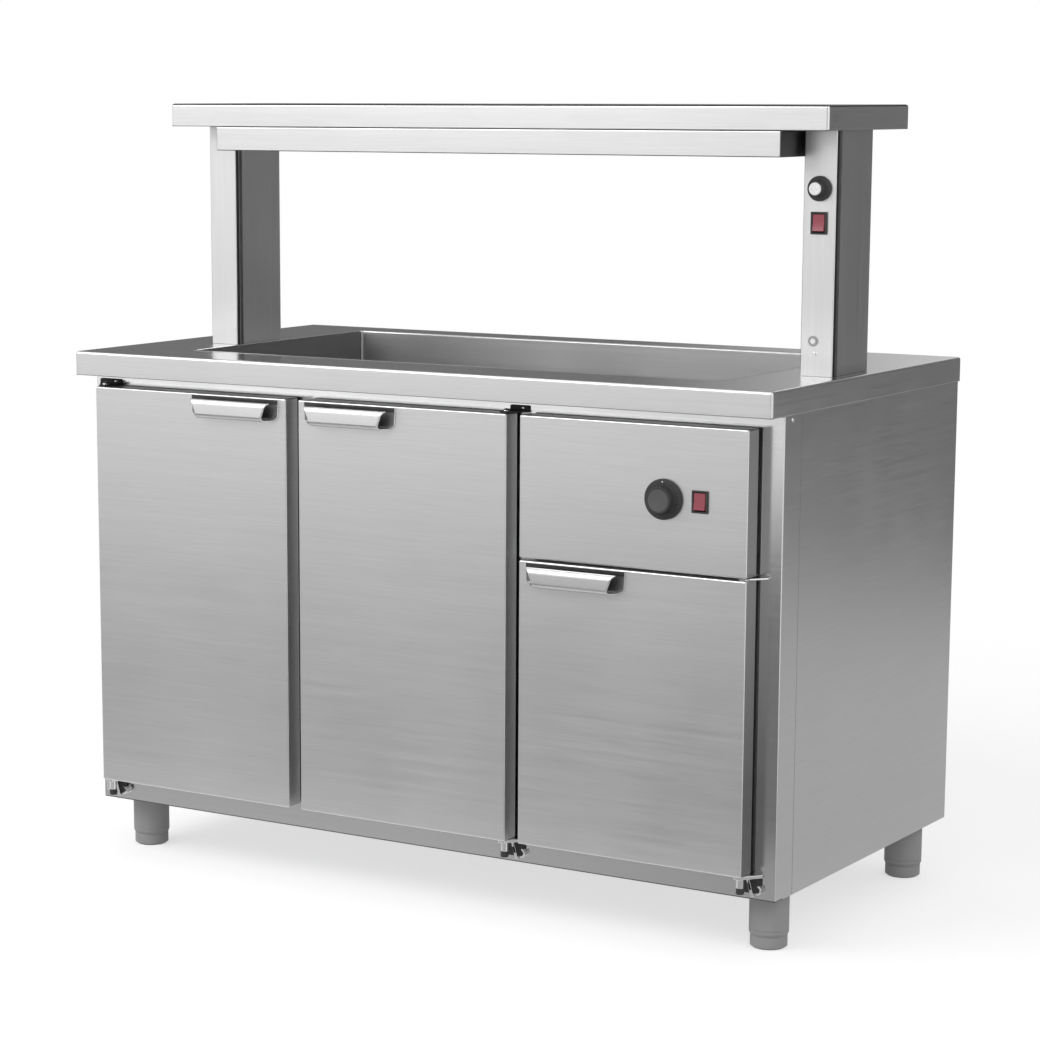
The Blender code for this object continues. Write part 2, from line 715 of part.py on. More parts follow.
def make_handle(name, middle, top):
    """Pull handle with slanted ends, longer at the top than at the bottom."""
    slant = (HANDLE_TOP_LENGTH - HANDLE_BOTTOM_LENGTH) / 2 / HANDLE_HEIGHT
    builder = bmesh.new()
    ends = []
    for side in (-1, 1):
        ring = []
        for y, z in handle_outline(top):
            reach = HANDLE_TOP_LENGTH / 2 - slant * (top - z)
            ring.append(builder.verts.new((middle + side * reach, y, z)))
        ends.append(ring)
    count = len(ends[0])
    for i in range(count):
        j = (i + 1) % count
        builder.faces.new((ends[0][i], ends[0][j], ends[1][j], ends[1][i]))
    builder.faces.new(ends[0])
    builder.faces.new(list(reversed(ends[1])))
    return add_object(name, builder, "steel", smooth=True)


def make_door(name, x, z, hinge):
    """Hinged door. The hinge side is -1 for left and 1 for right."""
    edge = x[0] if hinge < 0 else x[1]
    free = x[1] if hinge < 0 else x[0]
    pivot = (edge - hinge * PIVOT_INSET, (DOOR_FRONT + DOOR_BACK) / 2, z[0])
    skin = tray_front(f"{name}_skin", x, z)
    cut_round(skin, "Z", (pivot[0], pivot[1], 0), PIN_RADIUS + RUN_GAP, z[0] - CUT_OVER, z[1] + CUT_OVER)
    inside = PANEL_SHEET + SEAT_GAP
    liner_x = grown(x, -inside)
    front = DOOR_BACK - LINER_FLANGE
    path = [(liner_x[0], front), (liner_x[0], DOOR_BACK), (liner_x[1], DOOR_BACK), (liner_x[1], front)]
    liner = prism(f"{name}_liner", sheet_outline(path, -PANEL_SHEET), "Z", *grown(z, -inside), "inner_steel")
    gasket = make_gasket(f"{name}_gasket", x, z)
    middle = free + hinge * (HANDLE_EDGE + HANDLE_TOP_LENGTH / 2)
    handle = make_handle(f"{name}_handle", middle, z[1] - HANDLE_DROP)
    for piece in (skin, liner, gasket, handle):
        set_origin(piece, pivot)
    for tool in [m.object for m in skin.modifiers]:
        set_origin(tool, pivot)
    return pivot


def make_bracket(name, pivot, hinge, door_edge, upward, height):
    """Hinge bracket on the frame: a plate, a tongue past the door's edge and a pin into the door."""
    side = 1 if upward else -1
    tongue = sorted((door_edge - side * SEAT_GAP, door_edge - side * (SEAT_GAP + BRACKET_SHEET)))
    reach = sorted((pivot[0] - hinge * BRACKET_INWARD, pivot[0] + hinge * BRACKET_OUTWARD))
    back = FRAME_FRONT - SEAT_GAP
    bracket = block(name, reach, (pivot[1] - BRACKET_LIP, back), tongue, "chrome")
    if height > BRACKET_SHEET:
        plate = sorted((door_edge - side * SEAT_GAP, door_edge - side * (SEAT_GAP + height)))
        face = block(f"join_{name}_plate", reach, (back - BRACKET_SHEET, back), plate, None)
        join(bracket, face)
    pin_ends = sorted((door_edge - side * (SEAT_GAP + BRACKET_SHEET / 2), door_edge + side * PIN_REACH))
    pin = cylinder_profile(PIN_RADIUS, *pin_ends)
    join(bracket, turned(f"join_{name}_pin", pin, "Z", (pivot[0], pivot[1], 0), None, COARSE))


def make_doors():
    """Three doors with their hinge brackets."""
    plan = [("door_left", 0, DOOR_TOP, -1), ("door_middle", 1, DOOR_TOP, 1)]
    plan.append(("door_right", 2, LOWER_DOOR_TOP, 1))
    for name, bay, top, hinge in plan:
        pivot = make_door(name, bay_edges(bay), (DOOR_BOTTOM, top), hinge)
        make_bracket(f"{name}_lower_hinge", pivot, hinge, DOOR_BOTTOM, True, BRACKET_HEIGHT)
        upper = TOP_BRACKET_HEIGHT if top == DOOR_TOP else BRACKET_SHEET
        make_bracket(f"{name}_upper_hinge", pivot, hinge, top, False, upper)


# Legs


def make_legs():
    """Four leg sleeves under the floor panel, each with a foot that screws out."""
    roof = FLOOR_TOP - PANEL_SHEET - SEAT_GAP
    rim = FOOT_HEIGHT + SEAT_GAP
    bore = FOOT_STEM_RADIUS + RUN_GAP
    stem_top = FOOT_HEIGHT + FOOT_STEM_LENGTH
    side = COUNTER_WIDTH / 2 - LEG_SIDE_INSET
    rows = (("front", COUNTER_FRONT + LEG_FRONT_INSET), ("rear", COUNTER_BACK - LEG_BACK_INSET))
    for row, y in rows:
        for column, x in (("left", -side), ("right", side)):
            sleeve = [(0, roof), (SLEEVE_RADIUS, roof), (SLEEVE_RADIUS, rim), (bore, rim)]
            sleeve += [(bore, roof - SLEEVE_ROOF), (0, roof - SLEEVE_ROOF)]
            turned(f"leg_{row}_{column}", sleeve, "Z", (x, y, 0), "grey_plastic")
            foot = [(0, stem_top), (FOOT_STEM_RADIUS, stem_top), (FOOT_STEM_RADIUS, FOOT_HEIGHT)]
            foot += [(FOOT_RADIUS, FOOT_HEIGHT), (FOOT_RADIUS, FOOT_CHAMFER)]
            foot += [(FOOT_RADIUS - FOOT_CHAMFER, 0), (0, 0)]
            made = turned(f"foot_{row}_{column}", foot, "Z", (x, y, 0), "grey_plastic")
            set_origin(made, (x, y, 0))


# Posts, overshelf and heat lamp


def make_post(name, left):
    """Hollow post on the counter, with a folded cover on its front. Returns the core and the cover."""
    skin = COVER_SHEET + SEAT_GAP
    right = left + POST_WIDTH
    bottom, top = COUNTER_HEIGHT + SEAT_GAP, SHELF_TOP - TOP_SHEET - SEAT_GAP
    core_x, core_y = (left + skin, right - skin), (POST_FRONT + skin, POST_BACK)
    core = block(f"{name}_core", core_x, core_y, (bottom, top), "steel")
    hollow = grown((bottom, top), CUT_OVER)
    cut_block(core, grown(core_x, -FRAME_SHEET), grown(core_y, -FRAME_SHEET), hollow)
    flange = POST_FRONT + POST_COVER_FLANGE
    path = [(left, flange), (left, POST_FRONT), (right, POST_FRONT), (right, flange)]
    outline = sheet_outline(path, COVER_SHEET)
    cover = prism(f"{name}_cover", outline, "Z", bottom, SHELF_BOTTOM - SEAT_GAP, "steel")
    return core, cover


def shelf_x():
    return (LEFT_POST_X - SHELF_LEFT_OVERHANG, RIGHT_POST_X + POST_WIDTH + SHELF_RIGHT_OVERHANG)


def shelf_y():
    return (POST_FRONT - SHELF_FRONT_OVERHANG, POST_BACK + SHELF_BACK_OVERHANG)


def housing_x():
    return (LEFT_POST_X + POST_WIDTH + HOUSING_SIDE_GAP, RIGHT_POST_X - HOUSING_SIDE_GAP)


def housing_y():
    front = shelf_y()[0] + HOUSING_SETBACK
    return (front, front + HOUSING_DEPTH)


def make_overshelf():
    open_box("overshelf", shelf_x(), shelf_y(), (SHELF_BOTTOM, SHELF_TOP), TOP_SHEET, SHELF_RETURN, "steel")


def make_heat_lamp():
    """Lamp housing under the overshelf, its reflector and the quartz tube."""
    x, y = housing_x(), housing_y()
    housing = block("lamp_housing", x, y, (HOUSING_BOTTOM, HOUSING_TOP), "steel")
    cut_block(housing, grown(x, -PANEL_SHEET), grown(y, -PANEL_SHEET),
              (HOUSING_BOTTOM - CUT_OVER, HOUSING_TOP - PANEL_SHEET))
    inner = grown(x, -PANEL_SHEET - SEAT_GAP)
    middle = (y[0] + y[1]) / 2
    roof = HOUSING_TOP - PANEL_SHEET - SEAT_GAP
    path = [(middle - REFLECTOR_BOTTOM / 2, roof - REFLECTOR_DROP), (middle - REFLECTOR_TOP / 2, roof)]
    path += [(middle + REFLECTOR_TOP / 2, roof), (middle + REFLECTOR_BOTTOM / 2, roof - REFLECTOR_DROP)]
    prism("lamp_reflector", sheet_outline(path, -PANEL_SHEET), "X", *inner, "chrome")
    tube = [(0, inner[0]), (LAMP_CAP_RADIUS, inner[0]), (LAMP_CAP_RADIUS, inner[0] + LAMP_CAP_LENGTH)]
    tube += [(LAMP_RADIUS, inner[0] + LAMP_CAP_LENGTH), (LAMP_RADIUS, inner[1] - LAMP_CAP_LENGTH)]
    tube += [(LAMP_CAP_RADIUS, inner[1] - LAMP_CAP_LENGTH), (LAMP_CAP_RADIUS, inner[1]), (0, inner[1])]
    turned("lamp_tube", tube, "X", (0, middle, HOUSING_BOTTOM + LAMP_RISE), "quartz", COARSE)


# Controls


def make_knob(name, centre, skirt, grip, projection):
    """Skirted knob facing -Y with its shaft behind. Its centre lies on the face it sits against."""
    x, face, z = centre
    back = face - SEAT_GAP
    front = back - projection
    ledge = back - KNOB_SKIRT_HEIGHT
    profile = [(0, front), (grip * 0.92, front), (grip, front + 0.0015), (grip * 1.06, ledge - 0.001)]
    profile += [(skirt * 0.97, ledge), (skirt, ledge + 0.0015), (skirt, back), (SHAFT_RADIUS, back)]
    profile += [(SHAFT_RADIUS, face + SHAFT_LENGTH), (0, face + SHAFT_LENGTH)]
    knob = turned(name, profile, "Y", (x, 0, z), "black_plastic")
    set_origin(knob, (x, face, z))


def make_regulator_body(name, centre, size, depth, shaft_end):
    """Boxed regulator behind a face, with a blind hole for the knob's shaft."""
    x, face, z = centre
    half = size / 2
    body = block(name, (x - half, x + half), (face, face + depth), (z - half, z + half), "black_plastic")
    cut_round(body, "Y", (x, 0, z), SHAFT_RADIUS + RUN_GAP, face - CUT_OVER, shaft_end + RUN_GAP)


def rocker_outline(centre_y, centre_z, half):
    """Section (depth, height) of a rocker tipped so that its upper half lies flush."""
    rise = half * math.tan(ROCKER_SLOPE)
    face = ROCKER_PIVOT_DEPTH + ROCKER_FACE_RISE - rise
    belly = POCKET_DEPTH - ROCKER_PIVOT_DEPTH - ROCKER_END_GAP
    shape = [(-half, face + rise), (0, face), (half, face + rise), (half, 0)]
    shape += [(half / 3, -belly), (-half / 3, -belly), (-half, 0)]
    points = []
    for up, out in shape:
        turn_up = up * math.cos(ROCKER_SLOPE) + out * math.sin(ROCKER_SLOPE)
        turn_out = out * math.cos(ROCKER_SLOPE) - up * math.sin(ROCKER_SLOPE)
        points.append((centre_y - turn_out, centre_z + turn_up))
    return points


def make_switch(name, centre):
    """Rocker switch in a bezel: the housing and the rocker that tips in it."""
    x, face, z = centre
    front = face - SEAT_GAP - BEZEL_THICK
    half_w, half_h = BEZEL_WIDTH / 2, BEZEL_HEIGHT / 2
    bezel_z = (z - half_h, z + half_h)
    bezel_y = (front, face - SEAT_GAP)
    housing = block(f"{name}_body", (x - half_w, x + half_w), bezel_y, bezel_z, "black_plastic")
    inner_w, inner_h = half_w - SWITCH_BORDER / 2, half_h - SWITCH_BORDER / 2
    rear_y = (front + BEZEL_THICK / 2, face + SWITCH_BODY_DEPTH)
    rear_z = (z - inner_h, z + inner_h)
    join(housing, block(f"join_{name}_rear", (x - inner_w, x + inner_w), rear_y, rear_z, None))
    pocket_w, pocket_h = half_w - SWITCH_BORDER, half_h - SWITCH_BORDER + ROCKER_END_GAP / 2
    cut_block(housing, (x - pocket_w, x + pocket_w), (front - CUT_OVER, front + POCKET_DEPTH),
              (z - pocket_h, z + pocket_h))
    pivot_y = front + ROCKER_PIVOT_DEPTH
    outline = rocker_outline(pivot_y, z, pocket_h - ROCKER_END_GAP)
    width = pocket_w - ROCKER_SIDE_GAP
    rocker = prism(f"{name}_rocker", outline, "X", x - width, x + width, "red_plastic")
    set_origin(rocker, (x, pivot_y, z))
    return (inner_w + RUN_GAP, inner_h + RUN_GAP)


def cut_switch_hole(target, centre, half, low, high):
    x, _, z = centre
    cut_block(target, (x - half[0], x + half[0]), (low, high), (z - half[1], z + half[1]))


def make_control_panel():
    """Fixed panel above the right door with the well's thermostat and main switch."""
    x, z = bay_edges(2), (PANEL_BOTTOM, DOOR_TOP)
    panel = block("control_panel", x, (DOOR_FRONT, DOOR_BACK), z, "steel")
    inside = (DOOR_FRONT + PANEL_SHEET, DOOR_BACK - PANEL_SHEET)
    cut_block(panel, grown(x, -PANEL_SHEET), inside, grown(z, -PANEL_SHEET))
    fold = GASKET_INSET + GASKET_WIDTH
    cut_block(panel, grown(x, -fold), (DOOR_BACK - 2 * PANEL_SHEET, DOOR_BACK + CUT_OVER), grown(z, -fold))
    make_gasket("panel_gasket", x, z)
    knob = (x[1] - KNOB_X_MARGIN, DOOR_FRONT, DOOR_TOP - KNOB_DROP)
    behind = DOOR_FRONT + PANEL_SHEET + SEAT_GAP
    make_knob("thermostat_knob", knob, KNOB_SKIRT_RADIUS, KNOB_GRIP_RADIUS, KNOB_PROJECTION)
    make_regulator_body("thermostat_body", (knob[0], behind, knob[2]), THERMOSTAT_SIZE, THERMOSTAT_DEPTH,
                        DOOR_FRONT + SHAFT_LENGTH)
    cut_round(panel, "Y", (knob[0], 0, knob[2]), SHAFT_RADIUS + RUN_GAP, DOOR_FRONT - CUT_OVER, behind)
    switch = (knob[0] + SWITCH_X_OFFSET, DOOR_FRONT, knob[2])
    half = make_switch("main_switch", switch)
    cut_switch_hole(panel, switch, half, DOOR_FRONT - CUT_OVER, behind)


def make_post_controls(core, cover):
    """Lamp regulator, lamp switch and cable plug in the right post."""
    wall = POST_FRONT + COVER_SHEET + SEAT_GAP + FRAME_SHEET + SEAT_GAP
    near, far = POST_FRONT - CUT_OVER, wall
    knob = (POST_MIDDLE, POST_FRONT, SHELF_TOP - REGULATOR_DROP)
    make_knob("regulator_knob", knob, REGULATOR_SKIRT_RADIUS, REGULATOR_GRIP_RADIUS, REGULATOR_PROJECTION)
    make_regulator_body("regulator_body", (knob[0], wall, knob[2]), REGULATOR_SIZE, REGULATOR_DEPTH,
                        POST_FRONT + SHAFT_LENGTH)
    switch = (POST_MIDDLE, POST_FRONT, SHELF_TOP - POST_SWITCH_DROP)
    half = make_switch("lamp_switch", switch)
    plug = (POST_MIDDLE - PLUG_OFFSET, COUNTER_HEIGHT + PLUG_RISE)
    head = POST_FRONT - SEAT_GAP
    crown, end = head - PLUG_HEIGHT, head + PLUG_NECK_LENGTH
    profile = [(0, crown), (PLUG_RADIUS * 0.9, crown), (PLUG_RADIUS, head - PLUG_HEIGHT / 2)]
    profile += [(PLUG_RADIUS, head), (PLUG_NECK_RADIUS, head), (PLUG_NECK_RADIUS, end), (0, end)]
    turned("post_plug", profile, "Y", (plug[0], 0, plug[1]), "grey_plastic", COARSE)
    for target in (core, cover):
        cut_round(target, "Y", (knob[0], 0, knob[2]), SHAFT_RADIUS + RUN_GAP, near, far)
        cut_switch_hole(target, switch, half, near, far)
        cut_round(target, "Y", (plug[0], 0, plug[1]), PLUG_NECK_RADIUS + RUN_GAP, near, far)


def make_wiring():
    """Terminal block on the wiring shelf and the cable gland in the back panel."""
    right = INNER_HALF - TERMINAL_SIDE_MARGIN
    front = FRAME_BACK + TERMINAL_FRONT_MARGIN
    bottom = DIVIDER_TOP + SEAT_GAP
    block("terminal_block", (right - TERMINAL_WIDTH, right), (front, front + TERMINAL_LENGTH),
          (bottom, bottom + TERMINAL_HEIGHT), "black_plastic")
    x, z = gland_place()
    face = BACK_PANEL_FACE + SEAT_GAP
    inner = BACK_PANEL_INNER - GLAND_NUT_LENGTH
    profile = [(GLAND_BORE, inner), (GLAND_RADIUS, inner), (GLAND_RADIUS, face), (GLAND_NUT_RADIUS, face)]
    profile += [(GLAND_NUT_RADIUS, face + GLAND_NUT_LENGTH), (GLAND_RADIUS, face + GLAND_PROJECTION)]
    profile += [(GLAND_BORE, face + GLAND_PROJECTION), (GLAND_BORE, inner)]
    gland = turned_mesh(profile, "Y", (x, 0, z), COARSE)
    bmesh.ops.remove_doubles(gland, verts=gland.verts, dist=1e-6)
    add_object("cable_gland", gland, "black_plastic", smooth=True)


def main():
    clear_scene()
    make_countertop()
    make_well_tank()
    make_insulation_jacket()
    make_heating_element()
    make_drain_valve()
    make_front_frame()
    make_side_panel("side_panel_left", -1)
    make_side_panel("side_panel_right", 1)
    make_back_panel()
    make_floor_panel()
    make_partitions()
    make_control_panel()
    make_doors()
    make_legs()
    make_post("post_left", LEFT_POST_X)
    core, cover = make_post("post_right", RIGHT_POST_X)
    make_post_controls(core, cover)
    make_overshelf()
    make_heat_lamp()
    make_wiring()


main()
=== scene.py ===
import math

import bmesh
import bpy
from mathutils import Matrix, Vector


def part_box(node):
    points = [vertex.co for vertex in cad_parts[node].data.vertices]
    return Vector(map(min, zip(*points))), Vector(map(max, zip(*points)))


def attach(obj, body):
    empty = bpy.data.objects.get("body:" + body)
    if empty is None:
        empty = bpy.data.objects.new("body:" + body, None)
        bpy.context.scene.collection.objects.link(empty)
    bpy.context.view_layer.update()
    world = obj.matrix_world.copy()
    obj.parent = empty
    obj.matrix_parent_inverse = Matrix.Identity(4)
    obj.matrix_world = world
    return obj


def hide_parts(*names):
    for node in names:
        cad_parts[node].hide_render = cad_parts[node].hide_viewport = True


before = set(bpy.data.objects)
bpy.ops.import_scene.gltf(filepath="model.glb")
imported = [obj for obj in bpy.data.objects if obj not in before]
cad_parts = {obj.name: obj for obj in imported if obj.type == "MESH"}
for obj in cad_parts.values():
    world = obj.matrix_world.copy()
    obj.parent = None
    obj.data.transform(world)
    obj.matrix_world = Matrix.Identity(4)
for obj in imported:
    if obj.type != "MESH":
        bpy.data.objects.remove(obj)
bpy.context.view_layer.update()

bl_info = {
    "name": "Heated bain-marie counter",
    "version": (1, 0, 0),
    "blender": (4, 5, 0),
    "location": "View3D > Sidebar > Bain-marie",
    "description": "Dresses the packed counter with folded sheet, fittings, finishes and a studio",
    "category": "Object",
}

# Doors, with the side that each one's hinge is on
DOORS = {"left": -1, "middle": 1, "right": 1}

# Open sides of the trays
BOTTOM = "-z"
REAR = "+y"

# Angles in radians: edges shaded sharp, eased on made pieces, eased on copied solids, and merged as flat
SHARP_ANGLE = math.radians(38)
EASED_ANGLE = math.radians(50)
CORNER_ANGLE = math.radians(25)
FLAT_ANGLE = math.radians(1)

# Angles in radians: any fold, a fold that isn't part of a rounded lip, a corner too flat to round, a quarter
FOLD_ANGLE = 0.1
TRAY_FOLD_ANGLE = 1.2
STRAIGHT = math.radians(178)
QUARTER_TURN = math.radians(90)

# How far a face's normal leans when the face is level, at a side, or in a fold along a lower edge
LEVEL_LEAN = 0.8
SIDE_LEAN = 0.9
LOWER_FOLD_LEAN = (-0.98, -0.2)

# Distances in metres at which points count as level with each other or as one
TOUCH = 1e-5
MERGE = 1e-6

# Lengths in metres: how far a tool cuts past a face, then what fits into what
TOOL_REACH = 0.01
PIN_INSET = 0.009
PIN_RADIUS = 0.004
PIN_HOLE = 0.0044
PIN_LENGTH = 0.012
SPINDLE = 0.003
SPINDLE_HOLE = 0.0034
KNOB_DEPTH = 0.020
BEZEL_LAP = 0.0013
PLUG_STEM = 0.006
PLUG_HOLE = 0.0064
FOOT_STEM = 0.010
FOOT_BORE = 0.0104
DRAIN_BORE = 0.014
GLAND_HOLE = 0.0124
LAMP_CAP = 0.030
CARD_LIFT = 0.004


def described(kind, **settings):
    """Maker of properties of one kind, each with a name, a description and a default."""
    return lambda label, words, value: kind(name=label, description=words, default=value, **settings)


length = described(bpy.props.FloatProperty, min=0.0, precision=5, unit="LENGTH")
share = described(bpy.props.FloatProperty, min=0.0, max=1.0, subtype="FACTOR")
tint = described(bpy.props.FloatVectorProperty, size=3, min=0.0, max=1.0, subtype="COLOR")
tally = described(bpy.props.IntProperty, min=1)
watts = described(bpy.props.FloatProperty, min=0.0, unit="POWER")
focus = described(bpy.props.FloatProperty, min=1.0)


class BainSizes(bpy.types.PropertyGroup):
    """Sizes of the folded sheet and of the small fittings"""
    top_sheet: length("Top sheet", "Thickness of the worktop and overshelf", 0.0015)
    panel_sheet: length("Panel sheet", "Thickness of the doors, sides and covers", 0.0012)
    top_fold: length("Top fold", "Outer radius of the worktop's and overshelf's folds", 0.0045)
    door_fold: length("Door fold", "Outer radius of the folds of the doors and the control panel", 0.0024)
    panel_fold: length("Panel fold", "Outer radius of the folds of sides, frame and covers", 0.0022)
    fascia_lip: length("Fascia lip", "Width of the lip turned in under the worktop", 0.018)
    shelf_lip: length("Shelf lip", "Width of the lip turned in under the overshelf", 0.012)
    lamp_lip: length("Lamp lip", "Width of the lip turned in under the lamp housing", 0.004)
    control_lip: length("Control lip", "Width of the lip turned in behind the control panel", 0.022)
    side_lip: length("Side lip", "Width of the lip turned in along a side panel's front", 0.008)
    frame_depth: length("Frame depth", "Depth of the face frame's folds", 0.025)
    opening_inset: length("Opening inset", "Cover of the door over the frame's opening", 0.026)
    well_rim: length("Well rim", "Width of the well's rim outside its wall", 0.0075)
    well_corner: length("Well corner", "Corner radius of the well", 0.007)
    well_lip: length("Well lip", "Radius of the fold between the worktop and the well", 0.003)
    well_fillet: length("Well fillet", "Radius between the well's walls and floor", 0.012)
    well_depth: length("Well depth", "Depth of the well below the worktop", 0.200)
    handle_sheet: length("Handle sheet", "Thickness of the pull handles", 0.002)
    handle_round: length("Handle round", "Radius of the handle's lower folds", 0.008)
    handle_lip: length("Handle lip", "Height of the lip rolled back along the handle's top", 0.0095)
    handle_gap: length("Handle gap", "How far the handle's front stays below its back", 0.0045)
    handle_step: length("Handle step", "How much shorter each end of the handle's front is than its back", 0.011)
    handle_taper: length("Handle taper", "How much shorter each end of a handle's front is at the bottom", 0.015)
    handle_corner: length("Handle corner", "Radius of the lower corners of the handle's back", 0.012)
    gasket_width: length("Gasket width", "Width of the door gaskets", 0.012)
    post_groove: length("Post groove", "Depth of the groove along the posts' sides", 0.0022)
    post_groove_end: length("Post groove end", "Where the groove ends behind the post's front", 0.0205)
    post_groove_slope: length("Post groove slope", "Length of the groove's slanted rear wall", 0.0045)
    lip_fold: length("Lip fold", "Outer radius of the folds where a lip is turned in", 0.0012)
    cover_flange: length("Cover flange", "Depth of the post cover's side folds", 0.009)
    screw_radius: length("Screw radius", "Radius of the screw heads", 0.0036)
    screw_height: length("Screw height", "Height of the screw heads", 0.0018)
    knob_ribs: tally("Knob ribs", "Ribs round the thermostat knob's grip", 30)
    coil_turns: tally("Coil turns", "Turns of the lamp's filament", 150)


class BainFinishes(bpy.types.PropertyGroup):
    """Colours and polish of the finishes"""
    steel: tint("Steel", "Brushed steel of the outer sheets", (0.70, 0.70, 0.70))
    frame_steel: tint("Frame steel", "Polished steel of the face frame", (0.60, 0.60, 0.605))
    # Painted shade: this dark steel stands in for shade inside the handles, in grooves and gaps, along lower folds
    # and seams, on the overshelf's top edge and on the lamp's end plates
    painted_shade_steel: tint("Dark steel", "Blackened insides of handles, grooves and end plates", (0.085, 0.085, 0.087))
    inner_steel: tint("Inner steel", "Mill-finished steel inside", (0.46, 0.46, 0.465))
    chrome: tint("Chrome", "Plated brackets and screws", (0.78, 0.78, 0.79))
    rubber: tint("Rubber", "Door gaskets", (0.012, 0.012, 0.013))
    black: tint("Black plastic", "Knobs, bezels and brackets", (0.007, 0.007, 0.008))
    cap: tint("Knob cap", "Pale cap of the lamp regulator", (0.80, 0.80, 0.80))
    grip: tint("Knob face", "Grey face of the thermostat knob", (0.08, 0.08, 0.08))
    red: tint("Red plastic", "Rockers and valve lever", (0.205, 0.052, 0.066))
    grey: tint("Grey plastic", "Legs, feet and the post's plug", (0.56, 0.56, 0.56))
    foil: tint("Foil", "Foil on the insulation", (0.72, 0.71, 0.68))
    brass: tint("Brass", "Drain valve", (0.60, 0.45, 0.18))
    ceramic: tint("Ceramic", "End caps of the lamp", (0.76, 0.74, 0.69))
    filament: tint("Filament", "Coil of the lamp", (0.20, 0.19, 0.18))
    steel_roughness: share("Steel roughness", "Roughness of the brushed sheets", 0.36)
    top_roughness: share("Worktop roughness", "Roughness of the worktop and the overshelf's top", 0.20)
    well_roughness: share("Well roughness", "Roughness of the well's end walls", 0.20)
    frame_roughness: share("Frame roughness", "Roughness of the face frame", 0.15)
    grain: share("Grain", "Strength of the brush marks", 0.3)


class BainStage(bpy.types.PropertyGroup):
    """Floor, light and camera"""
    floor: tint("Floor", "Colour of the floor", (0.55, 0.55, 0.55))
    glow: share("Floor glow", "How much paler the floor looks than its light makes it", 0.56)
    sky: share("Sky light", "Strength of the soft light from all round", 0.62)
    key_power: watts("Key light", "Power of the large soft lamp", 95.0)
    fill_power: watts("Fill light", "Power of the lamp on the right", 20.0)
    dark_card: share("Dark card", "Tone of the card that the right side mirrors", 0.115)
    back_card: share("Back card", "Tone behind the worktop on the left", 0.18)
    mid_card: share("Middle card", "Tone behind the worktop on the right", 0.78)
    side_card: share("Side card", "Tone of the floor that the right side mirrors", 0.56)
    near_card: share("Near card", "Tone of the floor that the doors mirror", 0.31)
    rail_card: share("Rail card", "Tone of the floor that the bottom rail mirrors", 0.58)
    lens: focus("Lens", "Focal length in millimetres", 102.74)


# Meshes


def add_object(name, data):
    made = bpy.data.objects.new(name, data)
    bpy.context.scene.collection.objects.link(made)
    return made


def as_object(name, builder, *finishes):
    """Object from a bmesh, with its finishes in order."""
    mesh = bpy.data.meshes.new(name)
    builder.to_mesh(mesh)
    builder.free()
    for finish in finishes:
        mesh.materials.append(bpy.data.materials[finish])
    return add_object(name, mesh)


def bake(piece):
    """Put what a piece's modifiers make of it into its mesh."""
    graph = bpy.context.evaluated_depsgraph_get()
    old = piece.data
    mesh = bpy.data.meshes.new_from_object(piece.evaluated_get(graph), preserve_all_data_layers=True,
                                           depsgraph=graph)
    piece.modifiers.clear()
    piece.data = mesh
    bpy.data.meshes.remove(old)
    mesh.name = piece.name
    return piece


def modified(piece, kind, **settings):
    """Piece with one more modifier."""
    change = piece.modifiers.new(kind.lower(), kind)
    for name, value in settings.items():
        setattr(change, name, value)
    return piece


def settle(piece, body, slot, *nodes):
    """Even out a piece's shading and hand it to its body in place of the model's nodes."""
    piece.data.shade_smooth()
    piece.data.set_sharp_from_angle(angle=SHARP_ANGLE)
    bake(modified(piece, "WEIGHTED_NORMAL", keep_sharp=True))
    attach(piece, body)
    if nodes:
        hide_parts(*nodes)
    return piece


def cut(piece, *tools):
    """Cut tools out of a piece and remove them."""
    for tool in tools:
        modified(piece, "BOOLEAN", operation="DIFFERENCE", solver="EXACT", object=tool)
    bake(piece)
    for tool in tools:
        bpy.data.objects.remove(tool, do_unlink=True)
    return piece


def eased(piece, width):
    """Piece with its sharp edges eased."""
    return modified(piece, "BEVEL", width=width, segments=2, limit_method="ANGLE", angle_limit=EASED_ANGLE)


def thickened(piece, sheet, even):
    """Surface given the thickness of its sheet, inwards."""
    return bake(modified(piece, "SOLIDIFY", thickness=sheet, offset=-1.0, use_even_offset=even))


def spans(node):
    """Reach of a model node along each axis, as (low, high) pairs."""
    return tuple(zip(*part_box(node)))


def axis_of(node, axis):
    """Point on a model node's middle line along an axis."""
    low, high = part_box(node)
    centre = (low + high) / 2
    centre["XYZ".index(axis)] = 0.0
    return centre


def half_width(node):
    low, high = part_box(node)
    return (high.x - low.x) / 2


def place(axis, across, up, along):
    """Point from coordinates across, up and along an axis."""
    if axis == "X":
        return Vector((along, across, up))
    if axis == "Y":
        return Vector((across, along, up))
    return Vector((across, up, along))


def skin(builder, first, second, slot=0):
    """Faces between two loops of equal count."""
    for i in range(len(first)):
        j = (i + 1) % len(first)
        face = builder.faces.new((first[i], first[j], second[j], second[i]))
        face.material_index = slot


def outward(builder):
    bmesh.ops.recalc_face_normals(builder, faces=builder.faces)
    return builder


def bevel(builder, edges, width, segments):
    bmesh.ops.bevel(builder, geom=edges, offset=width, segments=segments, profile=0.5, affect="EDGES",
                    clamp_overlap=True)


def folds_over(builder, angle):
    """Edges where two faces meet at more than an angle."""
    return [e for e in builder.edges if len(e.link_faces) == 2 and e.calc_face_angle() > angle]


def prism(builder, outline, axis, low, high, slot=0):
    """Solid between two copies of an outline."""
    near = [builder.verts.new(place(axis, a, b, low)) for a, b in outline]
    far = [builder.verts.new(place(axis, a, b, high)) for a, b in outline]
    skin(builder, near, far, slot)
    for loop in (near, far):
        builder.faces.new(loop).material_index = slot


def drawn(name, outline, axis, low, high, *finishes):
    """Object drawn out from an outline along an axis."""
    builder = bmesh.new()
    prism(builder, outline, axis, low, high)
    return as_object(name, outward(builder), *finishes)


